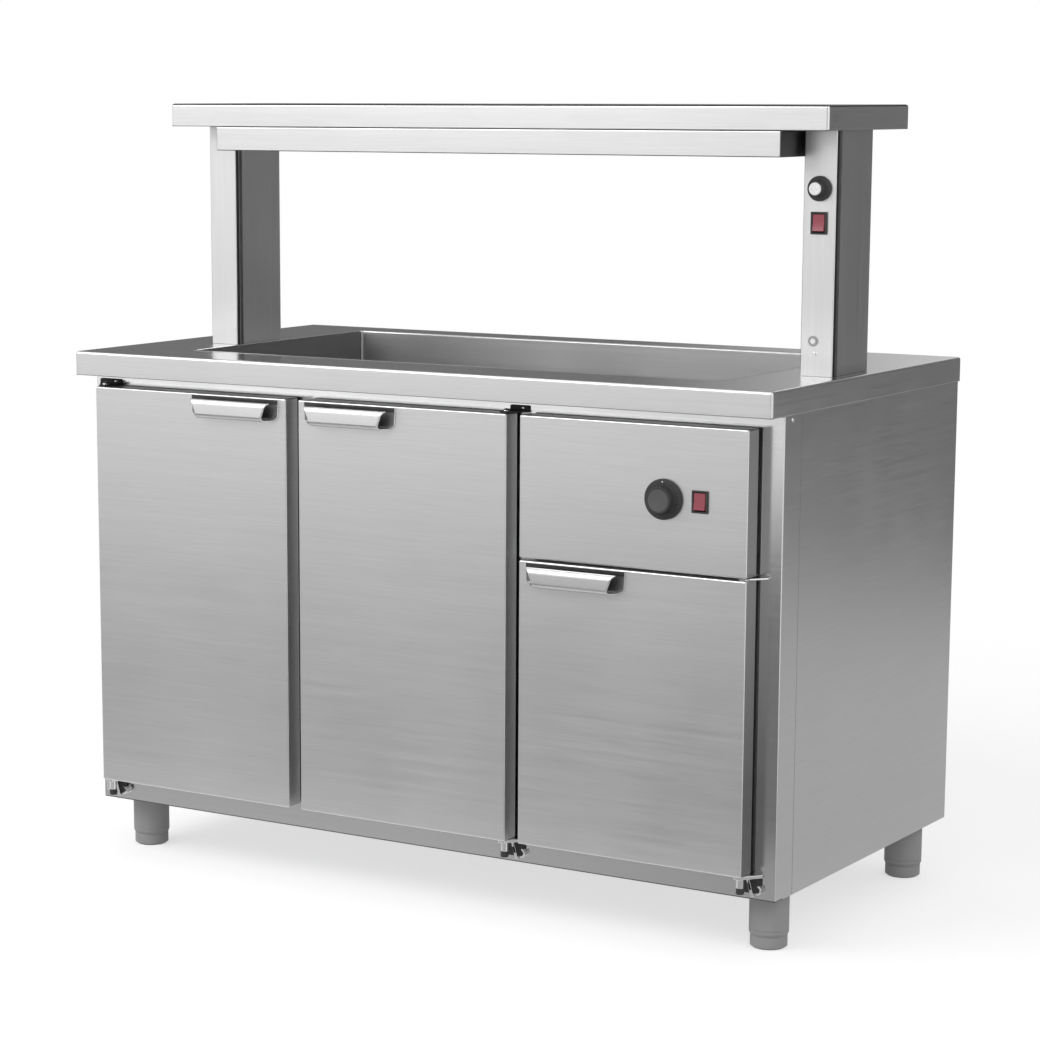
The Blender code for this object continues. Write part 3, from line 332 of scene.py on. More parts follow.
def arc(centre, radius, start, end, steps):
    """Points of an arc in degrees, both ends included."""
    points = []
    for i in range(steps + 1):
        angle = math.radians(start + (end - start) * i / steps)
        points.append((centre[0] + radius * math.cos(angle), centre[1] + radius * math.sin(angle)))
    return points


def rounded_rectangle(x, y, radius, steps=6):
    points = []
    for centre, start in (((x[1] - radius, y[0] + radius), -90), ((x[1] - radius, y[1] - radius), 0),
                          ((x[0] + radius, y[1] - radius), 90), ((x[0] + radius, y[0] + radius), 180)):
        points += arc(centre, radius, start, start + 90, steps)
    return points


def rectangle(x, y):
    return [(x[0], y[0]), (x[1], y[0]), (x[1], y[1]), (x[0], y[1])]


def grown(pair, amount):
    return (pair[0] - amount, pair[1] + amount)


def rounded_path(path, radius, steps=4, closed=False):
    """Path with its corners rounded, by no more than a part of the lines beside them."""
    part = 0.45
    points = []
    count = len(path)
    for i, point in enumerate(path):
        here = Vector(point)
        if not closed and i in (0, count - 1):
            points.append(tuple(here))
            continue
        before, after = Vector(path[i - 1]) - here, Vector(path[(i + 1) % count]) - here
        opening = before.angle(after)
        if opening > STRAIGHT:
            points.append(tuple(here))
            continue
        reach = min(radius / math.tan(opening / 2), part * before.length, part * after.length)
        start, end = here + before.normalized() * reach, here + after.normalized() * reach
        for k in range(steps + 1):
            t = k / steps
            points.append(tuple(start * (1 - t) ** 2 + here * 2 * t * (1 - t) + end * t * t))
    return points


def sheet_outline(path, thickness):
    """Closed outline of a sheet: a path of its outer side, thickened to its left."""
    offset = []
    for i, point in enumerate(path):
        here = Vector(point)
        before = (here - Vector(path[i - 1])).normalized() if i else None
        after = (Vector(path[i + 1]) - here).normalized() if i + 1 < len(path) else None
        first, second = before or after, after or before
        left_first, left_second = Vector((-first.y, first.x)), Vector((-second.y, second.x))
        middle = (left_first + left_second).normalized()
        offset.append(here + middle * (thickness / middle.dot(left_first)))
    return [tuple(p) for p in path] + [tuple(p) for p in reversed(offset)]


def folded(name, path, sheet, fold, axis, low, high, finish):
    """Sheet folded along a path and drawn out along an axis."""
    return drawn(name, sheet_outline(rounded_path(path, fold), sheet), axis, low, high, finish)


def channel(name, across, mouth, base, axis, along, finish):
    """Panel sheet folded into a channel that is open at its mouth."""
    sizes = bpy.context.scene.bain_sizes
    path = [(across[0], mouth), (across[0], base), (across[1], base), (across[1], mouth)]
    sheet = sizes.panel_sheet if mouth > base else -sizes.panel_sheet
    return folded(name, path, sheet, sizes.panel_fold, axis, *along, finish)


def drum(radius, start, end):
    """Profile of a plain round bar."""
    return [(0, start), (radius, start), (radius, end), (0, end)]


def lathe(builder, profile, axis, centre, sides=48, slot=0, closed=False):
    """Turned body. The profile lists (radius, distance along the axis)."""
    rings = []
    for radius, along in profile:
        ring = []
        for i in range(1 if radius == 0 else sides):
            angle = 2 * math.pi * i / sides
            across, up = radius * math.cos(angle), radius * math.sin(angle)
            ring.append(builder.verts.new(Vector(centre) + place(axis, across, up, along)))
        rings.append(ring)
    pairs = list(zip(rings, rings[1:]))
    if closed:
        pairs.append((rings[-1], rings[0]))
    for first, second in pairs:
        for i in range(sides):
            j = (i + 1) % sides
            corners = [first[i % len(first)], first[j % len(first)]]
            corners += [second[j % len(second)], second[i % len(second)]]
            builder.faces.new(list(dict.fromkeys(corners))).material_index = slot


def turned(name, profile, axis, centre, sides, *finishes):
    """Object turned from one profile."""
    builder = bmesh.new()
    lathe(builder, profile, axis, centre, sides)
    return as_object(name, outward(builder), *finishes)


def cylinder_tool(axis, centre, radius, low, high):
    return turned("tool", drum(radius, low, high), axis, centre, 32)


def block_tool(x, y, z):
    return drawn("tool", rectangle(x, y), "Z", *z)


def bezel_tool(node, depth):
    """Tool for the hole behind a switch's bezel."""
    x, _, z = spans(node)
    return block_tool(grown(x, -BEZEL_LAP), depth, grown(z, -BEZEL_LAP))


def tray(name, node, open_side, sheet, fold, lip=0.0):
    """Brushed sheet folded into a model node's box with one open side, where a lip may be turned in."""
    low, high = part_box(node)
    builder = bmesh.new()
    bmesh.ops.create_cube(builder, size=1.0)
    for vert in builder.verts:
        vert.co = [low[i] if vert.co[i] < 0 else high[i] for i in range(3)]
    axis, sign = "xyz".index(open_side[1]), -1 if open_side[0] == "-" else 1
    mouth = max(builder.faces, key=lambda face: sign * face.calc_center_median()[axis])
    if lip:
        bmesh.ops.inset_region(builder, faces=[mouth], thickness=lip, use_even_offset=True)
    bmesh.ops.delete(builder, geom=[mouth], context="FACES")
    edge = low[axis] if sign < 0 else high[axis]
    folds = folds_over(builder, FOLD_ANGLE)
    lip_folds = [e for e in folds if all(abs(v.co[axis] - edge) < MERGE for v in e.verts)]
    if lip_folds:
        bevel(builder, lip_folds, min(fold, bpy.context.scene.bain_sizes.lip_fold), 3)
        folds = folds_over(builder, TRAY_FOLD_ANGLE)
    bevel(builder, folds, fold, 4)
    return thickened(as_object(name, builder, "steel_upright"), sheet, True)


def softened(node, name, width, finish, segments=2):
    """Copy of a model node with its edges eased."""
    builder = bmesh.new()
    builder.from_mesh(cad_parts[node].data)
    for face in builder.faces:
        face.material_index = 0
    bmesh.ops.remove_doubles(builder, verts=builder.verts, dist=MERGE)
    bmesh.ops.dissolve_limit(builder, angle_limit=FLAT_ANGLE, verts=builder.verts, edges=builder.edges)
    bevel(builder, folds_over(builder, CORNER_ANGLE), width, segments)
    return as_object(name, builder, finish)


def refinish(piece, finish, chosen):
    """Give the chosen faces of a piece another finish."""
    piece.data.materials.append(bpy.data.materials[finish])
    for face in piece.data.polygons:
        if chosen(face):
            face.material_index = len(piece.data.materials) - 1
    return piece


def brush_level_faces(piece):
    """Give the level faces of a piece the finish brushed for them."""
    return refinish(piece, "steel_level", lambda face: abs(face.normal.z) > LEVEL_LEAN)


def shade_right_edge(piece):
    """Paint shade on a panel's edge on its right, as a darker copy of the steel."""
    return refinish(piece, "steel_painted_edge_shade", lambda face: face.normal.x > SIDE_LEAN)


def faces_down(face):
    """Whether a face is part of a fold along a lower edge."""
    return LOWER_FOLD_LEAN[0] < face.normal.z < LOWER_FOLD_LEAN[1]


def shade_lower_folds(piece):
    """Darken the folds along a piece's lower edges, where no light reaches."""
    return refinish(piece, "steel_painted_shade", faces_down)


# Node trees


def feed(tree, socket, source):
    """Set a socket to a value, or link it to a socket or to a node's first output."""
    if isinstance(source, bpy.types.Node):
        source = source.outputs[0]
    if isinstance(source, bpy.types.NodeSocket):
        tree.links.new(source, socket)
    else:
        socket.default_value = source


def add_node(tree, kind, settings=None, **inputs):
    """Node of a tree, with its settings and what feeds its inputs, by name."""
    node = tree.nodes.new(kind)
    for name, value in (settings or {}).items():
        setattr(node, name, value)
    for label, source in inputs.items():
        feed(tree, node.inputs[label.replace("_", " ")], source)
    return node


def add_fed(tree, kind, *sources, **settings):
    """Node of a tree with its inputs fed in order."""
    node = add_node(tree, kind, settings)
    for socket, source in zip(node.inputs, sources):
        feed(tree, socket, source)
    return node


# Geometry node trees


def tree_of(name, inputs):
    """Empty geometry tree with named inputs, given as (label, socket kind, value)."""
    tree = bpy.data.node_groups.new(name, "GeometryNodeTree")
    tree.interface.new_socket("Geometry", in_out="INPUT", socket_type="NodeSocketGeometry")
    for label, kind, value in inputs:
        tree.interface.new_socket(label, in_out="INPUT", socket_type=kind).default_value = value
    tree.interface.new_socket("Finish", in_out="INPUT", socket_type="NodeSocketMaterial")
    tree.interface.new_socket("Geometry", in_out="OUTPUT", socket_type="NodeSocketGeometry")
    return tree, tree.nodes.new("NodeGroupInput").outputs


def close_tree(tree, source, enter):
    """Realize what a tree made, give it its finish and put it out."""
    real = add_node(tree, "GeometryNodeRealizeInstances", Geometry=source)
    paint = add_node(tree, "GeometryNodeSetMaterial", Geometry=real, Material=enter["Finish"])
    add_node(tree, "NodeGroupOutput", Geometry=paint)
    return tree


def grow(name, mesh, tree, **values):
    """Run a tree on a mesh and keep the result as a plain object."""
    piece = add_object(name, mesh)
    change = piece.modifiers.new("tree", "NODES")
    change.node_group = tree
    for socket in tree.interface.items_tree:
        if socket.in_out == "INPUT" and socket.name in values:
            change[socket.identifier] = values[socket.name]
    return bake(piece)


def screw_tree():
    """Domed cross-recess screw heads on points that know which way they face."""
    tree, enter = tree_of("screw_heads", [("Radius", "NodeSocketFloat", 0.0036),
                                          ("Height", "NodeSocketFloat", 0.0018)])
    ball = add_node(tree, "GeometryNodeMeshUVSphere", Segments=20, Rings=10, Radius=1.0)
    size = add_node(tree, "ShaderNodeCombineXYZ", X=enter["Radius"], Y=enter["Radius"], Z=enter["Height"])
    lift = add_node(tree, "ShaderNodeCombineXYZ", Z=enter["Height"])
    dome = add_node(tree, "GeometryNodeTransform", Geometry=ball, Scale=size)
    head = add_node(tree, "GeometryNodeMeshBoolean", {"operation": "DIFFERENCE", "solver": "EXACT"}, Mesh_1=dome)
    for shape in ((1.15, 0.26, 0.9), (0.26, 1.15, 0.9)):
        bar = add_node(tree, "GeometryNodeMeshCube", Size=shape)
        fitted = add_node(tree, "GeometryNodeTransform", Geometry=bar, Scale=size)
        raised = add_node(tree, "GeometryNodeTransform", Geometry=fitted, Translation=lift)
        feed(tree, head.inputs["Mesh 2"], raised)
    facing = add_node(tree, "GeometryNodeInputNamedAttribute", {"data_type": "FLOAT_VECTOR"}, Name="facing")
    turn = add_node(tree, "FunctionNodeAlignRotationToVector", {"axis": "Z"}, Vector=facing.outputs["Attribute"])
    heads = add_node(tree, "GeometryNodeInstanceOnPoints", Points=enter["Geometry"], Instance=head, Rotation=turn)
    return close_tree(tree, heads, enter)


def rib_tree():
    """Ribs round a knob's grip, standing along Z."""
    tree, enter = tree_of("knob_ribs", [("Count", "NodeSocketInt", 30), ("Radius", "NodeSocketFloat", 0.021),
                                        ("Size", "NodeSocketVector", (0.001, 0.001, 0.01))])
    ring = add_node(tree, "GeometryNodeMeshCircle", Vertices=enter["Count"], Radius=enter["Radius"])
    rib = add_node(tree, "GeometryNodeMeshCube", Size=enter["Size"])
    where = tree.nodes.new("GeometryNodeInputPosition")
    turn = add_node(tree, "FunctionNodeAlignRotationToVector", {"axis": "X"}, Vector=where)
    ribs = add_node(tree, "GeometryNodeInstanceOnPoints", Points=ring, Instance=rib, Rotation=turn)
    return close_tree(tree, ribs, enter)


def coil_tree():
    """Filament wound along Z."""
    tree, enter = tree_of("filament_coil", [("Turns", "NodeSocketFloat", 150.0),
                                            ("Radius", "NodeSocketFloat", 0.002),
                                            ("Length", "NodeSocketFloat", 1.0),
                                            ("Wire", "NodeSocketFloat", 0.0004)])
    spiral = add_node(tree, "GeometryNodeCurveSpiral", Resolution=12, Rotations=enter["Turns"],
                      Start_Radius=enter["Radius"], End_Radius=enter["Radius"], Height=enter["Length"])
    wire = add_node(tree, "GeometryNodeCurvePrimitiveCircle", Resolution=5, Radius=enter["Wire"])
    coil = add_node(tree, "GeometryNodeCurveToMesh", Fill_Caps=True, Curve=spiral, Profile_Curve=wire)
    return close_tree(tree, coil, enter)


def screws(name, places, scale=1.0):
    """Screw heads on the cabinet, at (point, facing) places."""
    sizes = bpy.context.scene.bain_sizes
    mesh = bpy.data.meshes.new(name)
    mesh.from_pydata([point for point, _ in places], [], [])
    facing = mesh.attributes.new("facing", "FLOAT_VECTOR", "POINT")
    for i, (_, direction) in enumerate(places):
        facing.data[i].vector = direction
    tree = bpy.data.node_groups.get("screw_heads") or screw_tree()
    piece = grow(name, mesh, tree, Radius=sizes.screw_radius * scale, Height=sizes.screw_height * scale,
                 Finish=bpy.data.materials["chrome"])
    return settle(piece, "cabinet", "chrome")


# Finishes


def math_node(tree, operation, *sources):
    return add_fed(tree, "ShaderNodeMath", *sources, operation=operation).outputs[0]


def scaled(tree, vector, factor):
    return add_fed(tree, "ShaderNodeVectorMath", vector, factor, operation="MULTIPLY").outputs[0]


def noise(tree, vector, scale, detail=2.0, roughness=0.5, distortion=0.0):
    return add_node(tree, "ShaderNodeTexNoise", Vector=vector, Scale=scale, Detail=detail, Roughness=roughness,
                    Distortion=distortion).outputs["Fac"]


def spread(tree, value, low, high, start=0.3, end=0.7):
    """Value stretched from one range to another."""
    return add_node(tree, "ShaderNodeMapRange", Value=value, From_Min=start, From_Max=end, To_Min=low,
                    To_Max=high).outputs["Result"]


def group_of(name, label, kind, value, outputs):
    """Empty shader group that takes a place and one more input, with the sockets at its two ends."""
    group = bpy.data.node_groups.new(name, "ShaderNodeTree")
    for title, socket, start in (("Vector", "NodeSocketVector", (0, 0, 0)), (label, kind, value)):
        group.interface.new_socket(title, in_out="INPUT", socket_type=socket).default_value = start
    for title in outputs:
        group.interface.new_socket(title, in_out="OUTPUT", socket_type="NodeSocketFloat")
    return group, group.nodes.new("NodeGroupInput").outputs, group.nodes.new("NodeGroupOutput").inputs


def make_brush_group():
    """Brush marks: noise drawn out along the sheet, fine and broad."""
    group, enter, leave = group_of("brush_marks", "Draw", "NodeSocketVector", (4.0, 4.0, 700.0),
                                   ("Fine", "Broad"))
    fine = scaled(group, enter["Vector"], enter["Draw"])
    broad = scaled(group, fine, (0.45, 0.45, 0.45))
    feed(group, leave["Fine"], noise(group, fine, 1.0, 3.0, 0.65))
    feed(group, leave["Broad"], noise(group, broad, 0.35, 3.0, 0.6))


def make_marks_group():
    """Soft cloudy marks of cleaning and handling."""
    group, enter, leave = group_of("handling_marks", "Size", "NodeSocketFloat", 6.0, ("Cloud",))
    feed(group, leave["Cloud"], noise(group, enter["Vector"], enter["Size"], 4.0, distortion=0.6))


def make_speckle_group():
    """Fine moulded texture of plastic and rubber."""
    group, enter, leave = group_of("moulded_speckle", "Size", "NodeSocketFloat", 1800.0, ("Speckle", "Cloud"))
    feed(group, leave["Speckle"], noise(group, enter["Vector"], enter["Size"]))
    feed(group, leave["Cloud"], noise(group, enter["Vector"], 45.0, 3.0))


def new_finish(name):
    """Material with its shader and the object's coordinates."""
    material = bpy.data.materials.new(name)
    material.use_nodes = True
    tree = material.node_tree
    where = tree.nodes.new("ShaderNodeTexCoord").outputs["Object"]
    return tree, tree.nodes["Principled BSDF"], where


def use_group(tree, name, vector, **values):
    group = {"node_tree": bpy.data.node_groups[name]}
    return add_node(tree, "ShaderNodeGroup", group, Vector=vector, **values).outputs


def tone(colour, factor):
    return tuple(min(1.0, part * factor) for part in colour)


def blend_colour(tree, shader, factor, first, second):
    """Base colour that runs between two colours."""
    mix = add_node(tree, "ShaderNodeMix", {"data_type": "RGBA"}, Factor=factor, A=(*first, 1.0),
                   B=(*second, 1.0))
    colour = next(socket for socket in mix.outputs if socket.type == "RGBA")
    feed(tree, shader.inputs["Base Color"], colour)


def vary_colour(tree, shader, factor, colour, depth):
    """Base colour that runs from darker to lighter than a colour."""
    blend_colour(tree, shader, factor, tone(colour, 1 - depth), tone(colour, 1 + depth))


def roughen(tree, shader, source):
    feed(tree, shader.inputs["Roughness"], source)


def relief(tree, shader, height, strength, distance):
    bump = add_node(tree, "ShaderNodeBump", Strength=strength, Distance=distance, Height=height)
    feed(tree, shader.inputs["Normal"], bump)


def make_brushed(name, colour, roughness, draw, depth):
    """Brushed steel. Draw says how fast the marks change along each axis."""
    tree, shader, where = new_finish(name)
    marks = use_group(tree, "brush_marks", where, Draw=draw)
    cloud = use_group(tree, "handling_marks", where, Size=4.0)["Cloud"]
    fine_part, broad_part, colour_part, bump_part = 0.7, 0.3, 0.13, 0.12
    streak = math_node(tree, "ADD", math_node(tree, "MULTIPLY", marks["Fine"], fine_part),
                       math_node(tree, "MULTIPLY", marks["Broad"], broad_part))
    vary_colour(tree, shader, spread(tree, streak, 0.0, 1.0, 0.38, 0.62), colour, colour_part * depth)
    rough = math_node(tree, "ADD", spread(tree, streak, -0.05, 0.05), spread(tree, cloud, -0.02, 0.03))
    roughen(tree, shader, math_node(tree, "ADD", rough, roughness))
    shader.inputs["Metallic"].default_value = 1.0
    relief(tree, shader, marks["Fine"], bump_part * depth, 0.0004)


def make_plain_metal(name, colour, roughness, scale, depth):
    """Unbrushed metal with a cloudy surface."""
    tree, shader, where = new_finish(name)
    cloud = use_group(tree, "handling_marks", where, Size=scale)["Cloud"]
    vary_colour(tree, shader, spread(tree, cloud, 0.0, 1.0), colour, depth)
    roughen(tree, shader, spread(tree, cloud, roughness * 0.93, roughness * 1.08))
    shader.inputs["Metallic"].default_value = 1.0


def make_moulded(name, colour, roughness, speckle, depth, bump=0.06, shine=0.5):
    """Moulded plastic, rubber or ceramic."""
    tree, shader, where = new_finish(name)
    marks = use_group(tree, "moulded_speckle", where, Size=speckle)
    vary_colour(tree, shader, spread(tree, marks["Cloud"], 0.0, 1.0), colour, depth)
    roughen(tree, shader, spread(tree, marks["Cloud"], roughness * 0.85, roughness * 1.15))
    shader.inputs["Specular IOR Level"].default_value = shine
    relief(tree, shader, marks["Speckle"], bump, 0.0002)


def make_foil(name, colour):
    """Crinkled foil on mineral wool."""
    tree, shader, where = new_finish(name)
    crease = add_node(tree, "ShaderNodeTexVoronoi", {"feature": "DISTANCE_TO_EDGE"}, Scale=55.0, Vector=where)
    cloud = use_group(tree, "handling_marks", where, Size=30.0)["Cloud"]
    blend_colour(tree, shader, cloud, tone(colour, 0.8), tone(colour, 1.1))
    roughen(tree, shader, spread(tree, cloud, 0.25, 0.5))
    shader.inputs["Metallic"].default_value = 1.0
    relief(tree, shader, math_node(tree, "ADD", crease.outputs["Distance"], cloud), 0.6, 0.004)


def make_glass(name):
    """Clear quartz with faint draw lines."""
    tree, shader, where = new_finish(name)
    lines = noise(tree, scaled(tree, where, (2.0, 900.0, 900.0)), 1.0)
    roughen(tree, shader, spread(tree, lines, 0.02, 0.10))
    blend_colour(tree, shader, lines, (0.94, 0.94, 0.93), (1.0, 1.0, 1.0))
    shader.inputs["Transmission Weight"].default_value = 1.0
    shader.inputs["IOR"].default_value = 1.46


class BAIN_OT_finishes(bpy.types.Operator):
    """Mix the finishes that the pieces share"""
    bl_idname = "bain.finishes"
    bl_label = "Finishes"

    def execute(self, context):
        looks = context.scene.bain_finishes
        make_brush_group()
        make_marks_group()
        make_speckle_group()
        self.brushed(looks)
        self.metals(looks)
        self.moulded(looks)
        make_foil("foil", looks.foil)
        make_glass("quartz")
        return {"FINISHED"}

    def brushed(self, looks):
        steel, rough, grain = looks.steel, looks.steel_roughness, looks.grain
        sideways, endways, upward = (11.0, 11.0, 1000.0), (11.0, 1000.0, 11.0), (900.0, 900.0, 7.0)
        make_brushed("steel_upright", steel, rough, sideways, grain)
        make_brushed("steel_level", steel, looks.top_roughness, endways, grain)
        # Painted shade: a darker copy of the steel for the well's end walls
        make_brushed("steel_well_painted_shade", tone(steel, 0.42), looks.well_roughness, (11.0, 11.0, 900.0), grain)
        # Painted shade: a darker copy of the steel for the right edges of the right door and the control panel
        make_brushed("steel_painted_edge_shade", tone(steel, 0.5), rough, sideways, grain)
        make_brushed("steel_post", steel, rough, upward, grain)
        make_brushed("steel_handle", tone(steel, 1.08), rough * 0.8, sideways, grain * 0.6)
        make_brushed("steel_frame", looks.frame_steel, looks.frame_roughness, sideways, grain * 0.6)

    def metals(self, looks):
        """Plain metals: name, colour, roughness, and the size and depth of the cloud."""
        # The first two rows are painted shade: darker steels for hollows, grooves, gaps and folds that lie in shade
        for row in (("steel_painted_shade", looks.painted_shade_steel, 0.42, 40.0, 0.15),
                    ("steel_painted_soft_shade", tone(looks.painted_shade_steel, 2.6), 0.45, 40.0, 0.15),
                    ("steel_inner", looks.inner_steel, 0.44, 9.0, 0.03),
                    ("chrome", looks.chrome, 0.14, 60.0, 0.03),
                    ("mirror", looks.chrome, 0.08, 12.0, 0.03),
                    ("brass", looks.brass, 0.28, 80.0, 0.12),
                    ("filament", looks.filament, 0.35, 300.0, 0.1)):
            make_plain_metal(*row)

    def moulded(self, looks):
        """Plastics, rubber and ceramic: name, colour, roughness, and the size and depth of the speckle."""
        make_moulded("rubber", looks.rubber, 0.62, 900.0, 0.3, shine=0.2)
        make_moulded("black_plastic", looks.black, 0.42, 2500.0, 0.25, shine=0.1)
        make_moulded("knob_face", looks.grip, 0.42, 2500.0, 0.12)
        make_moulded("knob_cap", looks.cap, 0.35, 2500.0, 0.03)
        make_moulded("red_plastic", looks.red, 0.28, 1500.0, 0.12, bump=0.1)
        make_moulded("grey_plastic", looks.grey, 0.42, 1600.0, 0.08)
        make_moulded("ceramic", looks.ceramic, 0.5, 700.0, 0.06)


# Worktop and well


def well_edges():
    """Inner edges of the well, as pairs along X and Y."""
    rim = bpy.context.scene.bain_sizes.well_rim
    x, y, _ = spans("well_tank")
    return grown(x, -rim), grown(y, -rim)


class BAIN_OT_worktop(bpy.types.Operator):
    """Fold the steel worktop and cut the hole for the well"""
    bl_idname = "bain.worktop"
    bl_label = "Worktop"

    def execute(self, context):
        sizes = context.scene.bain_sizes
        top = tray("worktop", "countertop", BOTTOM, sizes.top_sheet, sizes.top_fold, sizes.fascia_lip)
        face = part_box("countertop")[1].z
        x, y = well_edges()
        lap = 0.003
        clear = sizes.well_rim - lap
        outline = rounded_rectangle(grown(x, clear), grown(y, clear), sizes.well_corner + clear)
        cut(top, drawn("tool", outline, "Z", face - 0.012, face + TOOL_REACH))
        brush_level_faces(top)
        shade_lower_folds(top)
        settle(top, "cabinet", "steel", "countertop")
        return {"FINISHED"}


class BAIN_OT_well(bpy.types.Operator):
    """Press the well with its rim, drain and spigot"""
    bl_idname = "bain.well"
    bl_label = "Well"

    def execute(self, context):
        sizes = context.scene.bain_sizes
        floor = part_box("countertop")[1].z - sizes.well_depth
        x, y = well_edges()
        least_corner = 0.0015
        builder = bmesh.new()
        rings = []
        for offset, height in self.section(sizes, floor):
            corner = max(sizes.well_corner + offset, least_corner)
            outline = rounded_rectangle(grown(x, offset), grown(y, offset), corner, 8)
            rings.append([builder.verts.new((a, b, height)) for a, b in outline])
        for first, second in zip(rings, rings[1:]):
            skin(builder, first, second)
        builder.faces.new(rings[0])
        builder.faces.new(rings[-1])
        tank = as_object("well", outward(builder), "steel_upright")
        drain = (axis_of("drain_valve", "Z").x, (y[0] + y[1]) / 2, 0)
        cut(tank, cylinder_tool("Z", drain, DRAIN_BORE, floor - TOOL_REACH, floor + TOOL_REACH))
        brush_level_faces(tank)
        # The end walls get painted shade, a darker copy of the steel
        refinish(tank, "steel_well_painted_shade", lambda face: abs(face.normal.x) > 0.7)
        settle(tank, "cabinet", "steel", "well_tank")
        self.spigot(drain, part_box("well_tank")[0].z, floor)
        return {"FINISHED"}

    def section(self, sizes, floor):
        """Section of the wall from the floor over the rim and back, as (offset, height)."""
        sheet, fillet, rim, bow = sizes.panel_sheet, sizes.well_fillet, sizes.well_rim, sizes.well_lip
        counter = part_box("countertop")[1].z
        top, rest, turn = counter + 0.0005, counter + 0.0001, rim - 0.0033
        bend, roll = (-fillet, floor + fillet), (bow, top - bow)
        edge = [(rim - 0.0004, top), (rim, top - 0.0003), (rim, rest), (turn, rest), (turn, top - sheet)]
        return (arc(bend, fillet, -90, 0, 6) + arc(roll, bow, 180, 90, 5) + edge
                + arc(roll, bow - sheet, 90, 180, 4) + arc(bend, fillet + sheet, 0, -90, 6))

    def spigot(self, drain, end, floor):
        outer, under = 0.0180, floor - 0.0012
        pipe = [(DRAIN_BORE, end), (outer, end), (outer, under), (DRAIN_BORE, under)]
        flange = [(0.0125, floor + 0.0001), (0.0270, floor + 0.0001), (0.0265, floor + 0.0012),
                  (0.0160, floor + 0.0020), (0.0125, floor - 0.0010)]
        builder = bmesh.new()
        for profile in (pipe, flange):
            lathe(builder, rounded_path(profile, 0.0006, 2, True), "Z", drain, closed=True)
        settle(as_object("well_drain", outward(builder), "chrome"), "cabinet", "steel")


# Cabinet


class BAIN_OT_face_frame(bpy.types.Operator):
    """Fold the face frame with its four openings and corner returns"""
    bl_idname = "bain.face_frame"
    bl_label = "Face frame"

    def execute(self, context):
        sizes = context.scene.bain_sizes
        low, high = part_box("front_frame")
        builder = bmesh.new()
        self.face(builder, low, high, sizes.opening_inset)
        self.fold_back(builder, [e for e in builder.edges if len(e.link_faces) == 1], sizes.frame_depth)
        back = low.y + sizes.frame_depth
        wings = [e for e in builder.edges if len(e.link_faces) == 1 and self.at_corner(e, back, high.x)]
        self.fold_back(builder, wings, high.y - back)
        outward(builder)
        front = next(f for f in builder.faces if abs(f.normal.y) > SIDE_LEAN)
        if front.normal.y > 0:
            bmesh.ops.reverse_faces(builder, faces=builder.faces)
        bevel(builder, folds_over(builder, FOLD_ANGLE), sizes.panel_fold, 3)
        piece = thickened(as_object("face_frame", builder, "steel_frame"), sizes.top_sheet, False)
        refinish(piece, "steel_upright", lambda face: abs(face.center.x) > high.x - 0.0012)
        # The lower folds along the bottom rail get painted shade
        refinish(piece, "steel_painted_shade", lambda face: faces_down(face) and face.center.z < low.z + 0.003)
        settle(piece, "cabinet", "frame_steel", "front_frame")
        return {"FINISHED"}

    def face(self, builder, low, high, inset):
        """Flat front with an opening behind each door and the control panel."""
        holes = []
        for node in ("door_left_skin", "door_middle_skin", "door_right_skin", "control_panel"):
            x, _, z = spans(node)
            holes.append((grown(x, -inset), grown(z, -inset)))
        across = sorted({round(v, 5) for x, _ in holes for v in x} | {low.x, high.x})
        upward = sorted({round(v, 5) for _, z in holes for v in z} | {low.z, high.z})
        grid = [[builder.verts.new((a, low.y, b)) for b in upward] for a in across]
        for i in range(len(across) - 1):
            for j in range(len(upward) - 1):
                x, z = (across[i] + across[i + 1]) / 2, (upward[j] + upward[j + 1]) / 2
                if any(hx[0] < x < hx[1] and hz[0] < z < hz[1] for hx, hz in holes):
                    continue
                builder.faces.new((grid[i][j], grid[i + 1][j], grid[i + 1][j + 1], grid[i][j + 1]))

    def at_corner(self, edge, back, side):
        """Whether an edge runs up one of the cabinet's corners."""
        first, second = (vert.co for vert in edge.verts)
        return (abs(first.y - back) < TOUCH and abs(abs(first.x) - side) < TOUCH
                and abs(first.x - second.x) < TOUCH)

    def fold_back(self, builder, edges, depth):
        new = bmesh.ops.extrude_edge_only(builder, edges=edges)["geom"]
        verts = [v for v in new if isinstance(v, bmesh.types.BMVert)]
        bmesh.ops.translate(builder, vec=(0, depth, 0), verts=verts)


class BAIN_OT_panels(bpy.types.Operator):
    """Fold the side, back and floor panels"""
    bl_idname = "bain.panels"
    bl_label = "Panels"

    def execute(self, context):
        sizes = context.scene.bain_sizes
        self.side("side_panel_left", -1, sizes)
        self.side("side_panel_right", 1, sizes)
        x, y, z = spans("back_panel")
        back = channel("back_sheet", x, y[1], y[0], "Z", z, "steel_upright")
        gland = axis_of("cable_gland", "Y")
        cut(back, cylinder_tool("Y", gland, GLAND_HOLE, y[0] - TOOL_REACH, y[0] + TOOL_REACH))
        settle(back, "cabinet", "steel", "back_panel")
        x, y, z = spans("floor_panel")
        floor = channel("floor_sheet", y, *z, "X", x, "steel_inner")
        settle(floor, "cabinet", "inner_steel", "floor_panel")
        return {"FINISHED"}

    def side(self, node, side, sizes):
        low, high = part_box(node)
        outer, inner = (low.x, high.x) if side < 0 else (high.x, low.x)
        path = [(inner, high.y), (outer, high.y), (outer, low.y), (outer - side * sizes.side_lip, low.y)]
        piece = folded(f"{node}_sheet", path, -sizes.panel_sheet * side, sizes.lip_fold * 0.5, "Z", low.z, high.z,
                       "steel_upright")
        # The front lip gets painted shade, so the seam beside the frame shows dark
        refinish(piece, "steel_painted_shade", lambda face: face.center.y < low.y + 0.002 and face.normal.y < -0.4)
        settle(piece, "cabinet", "steel", node)


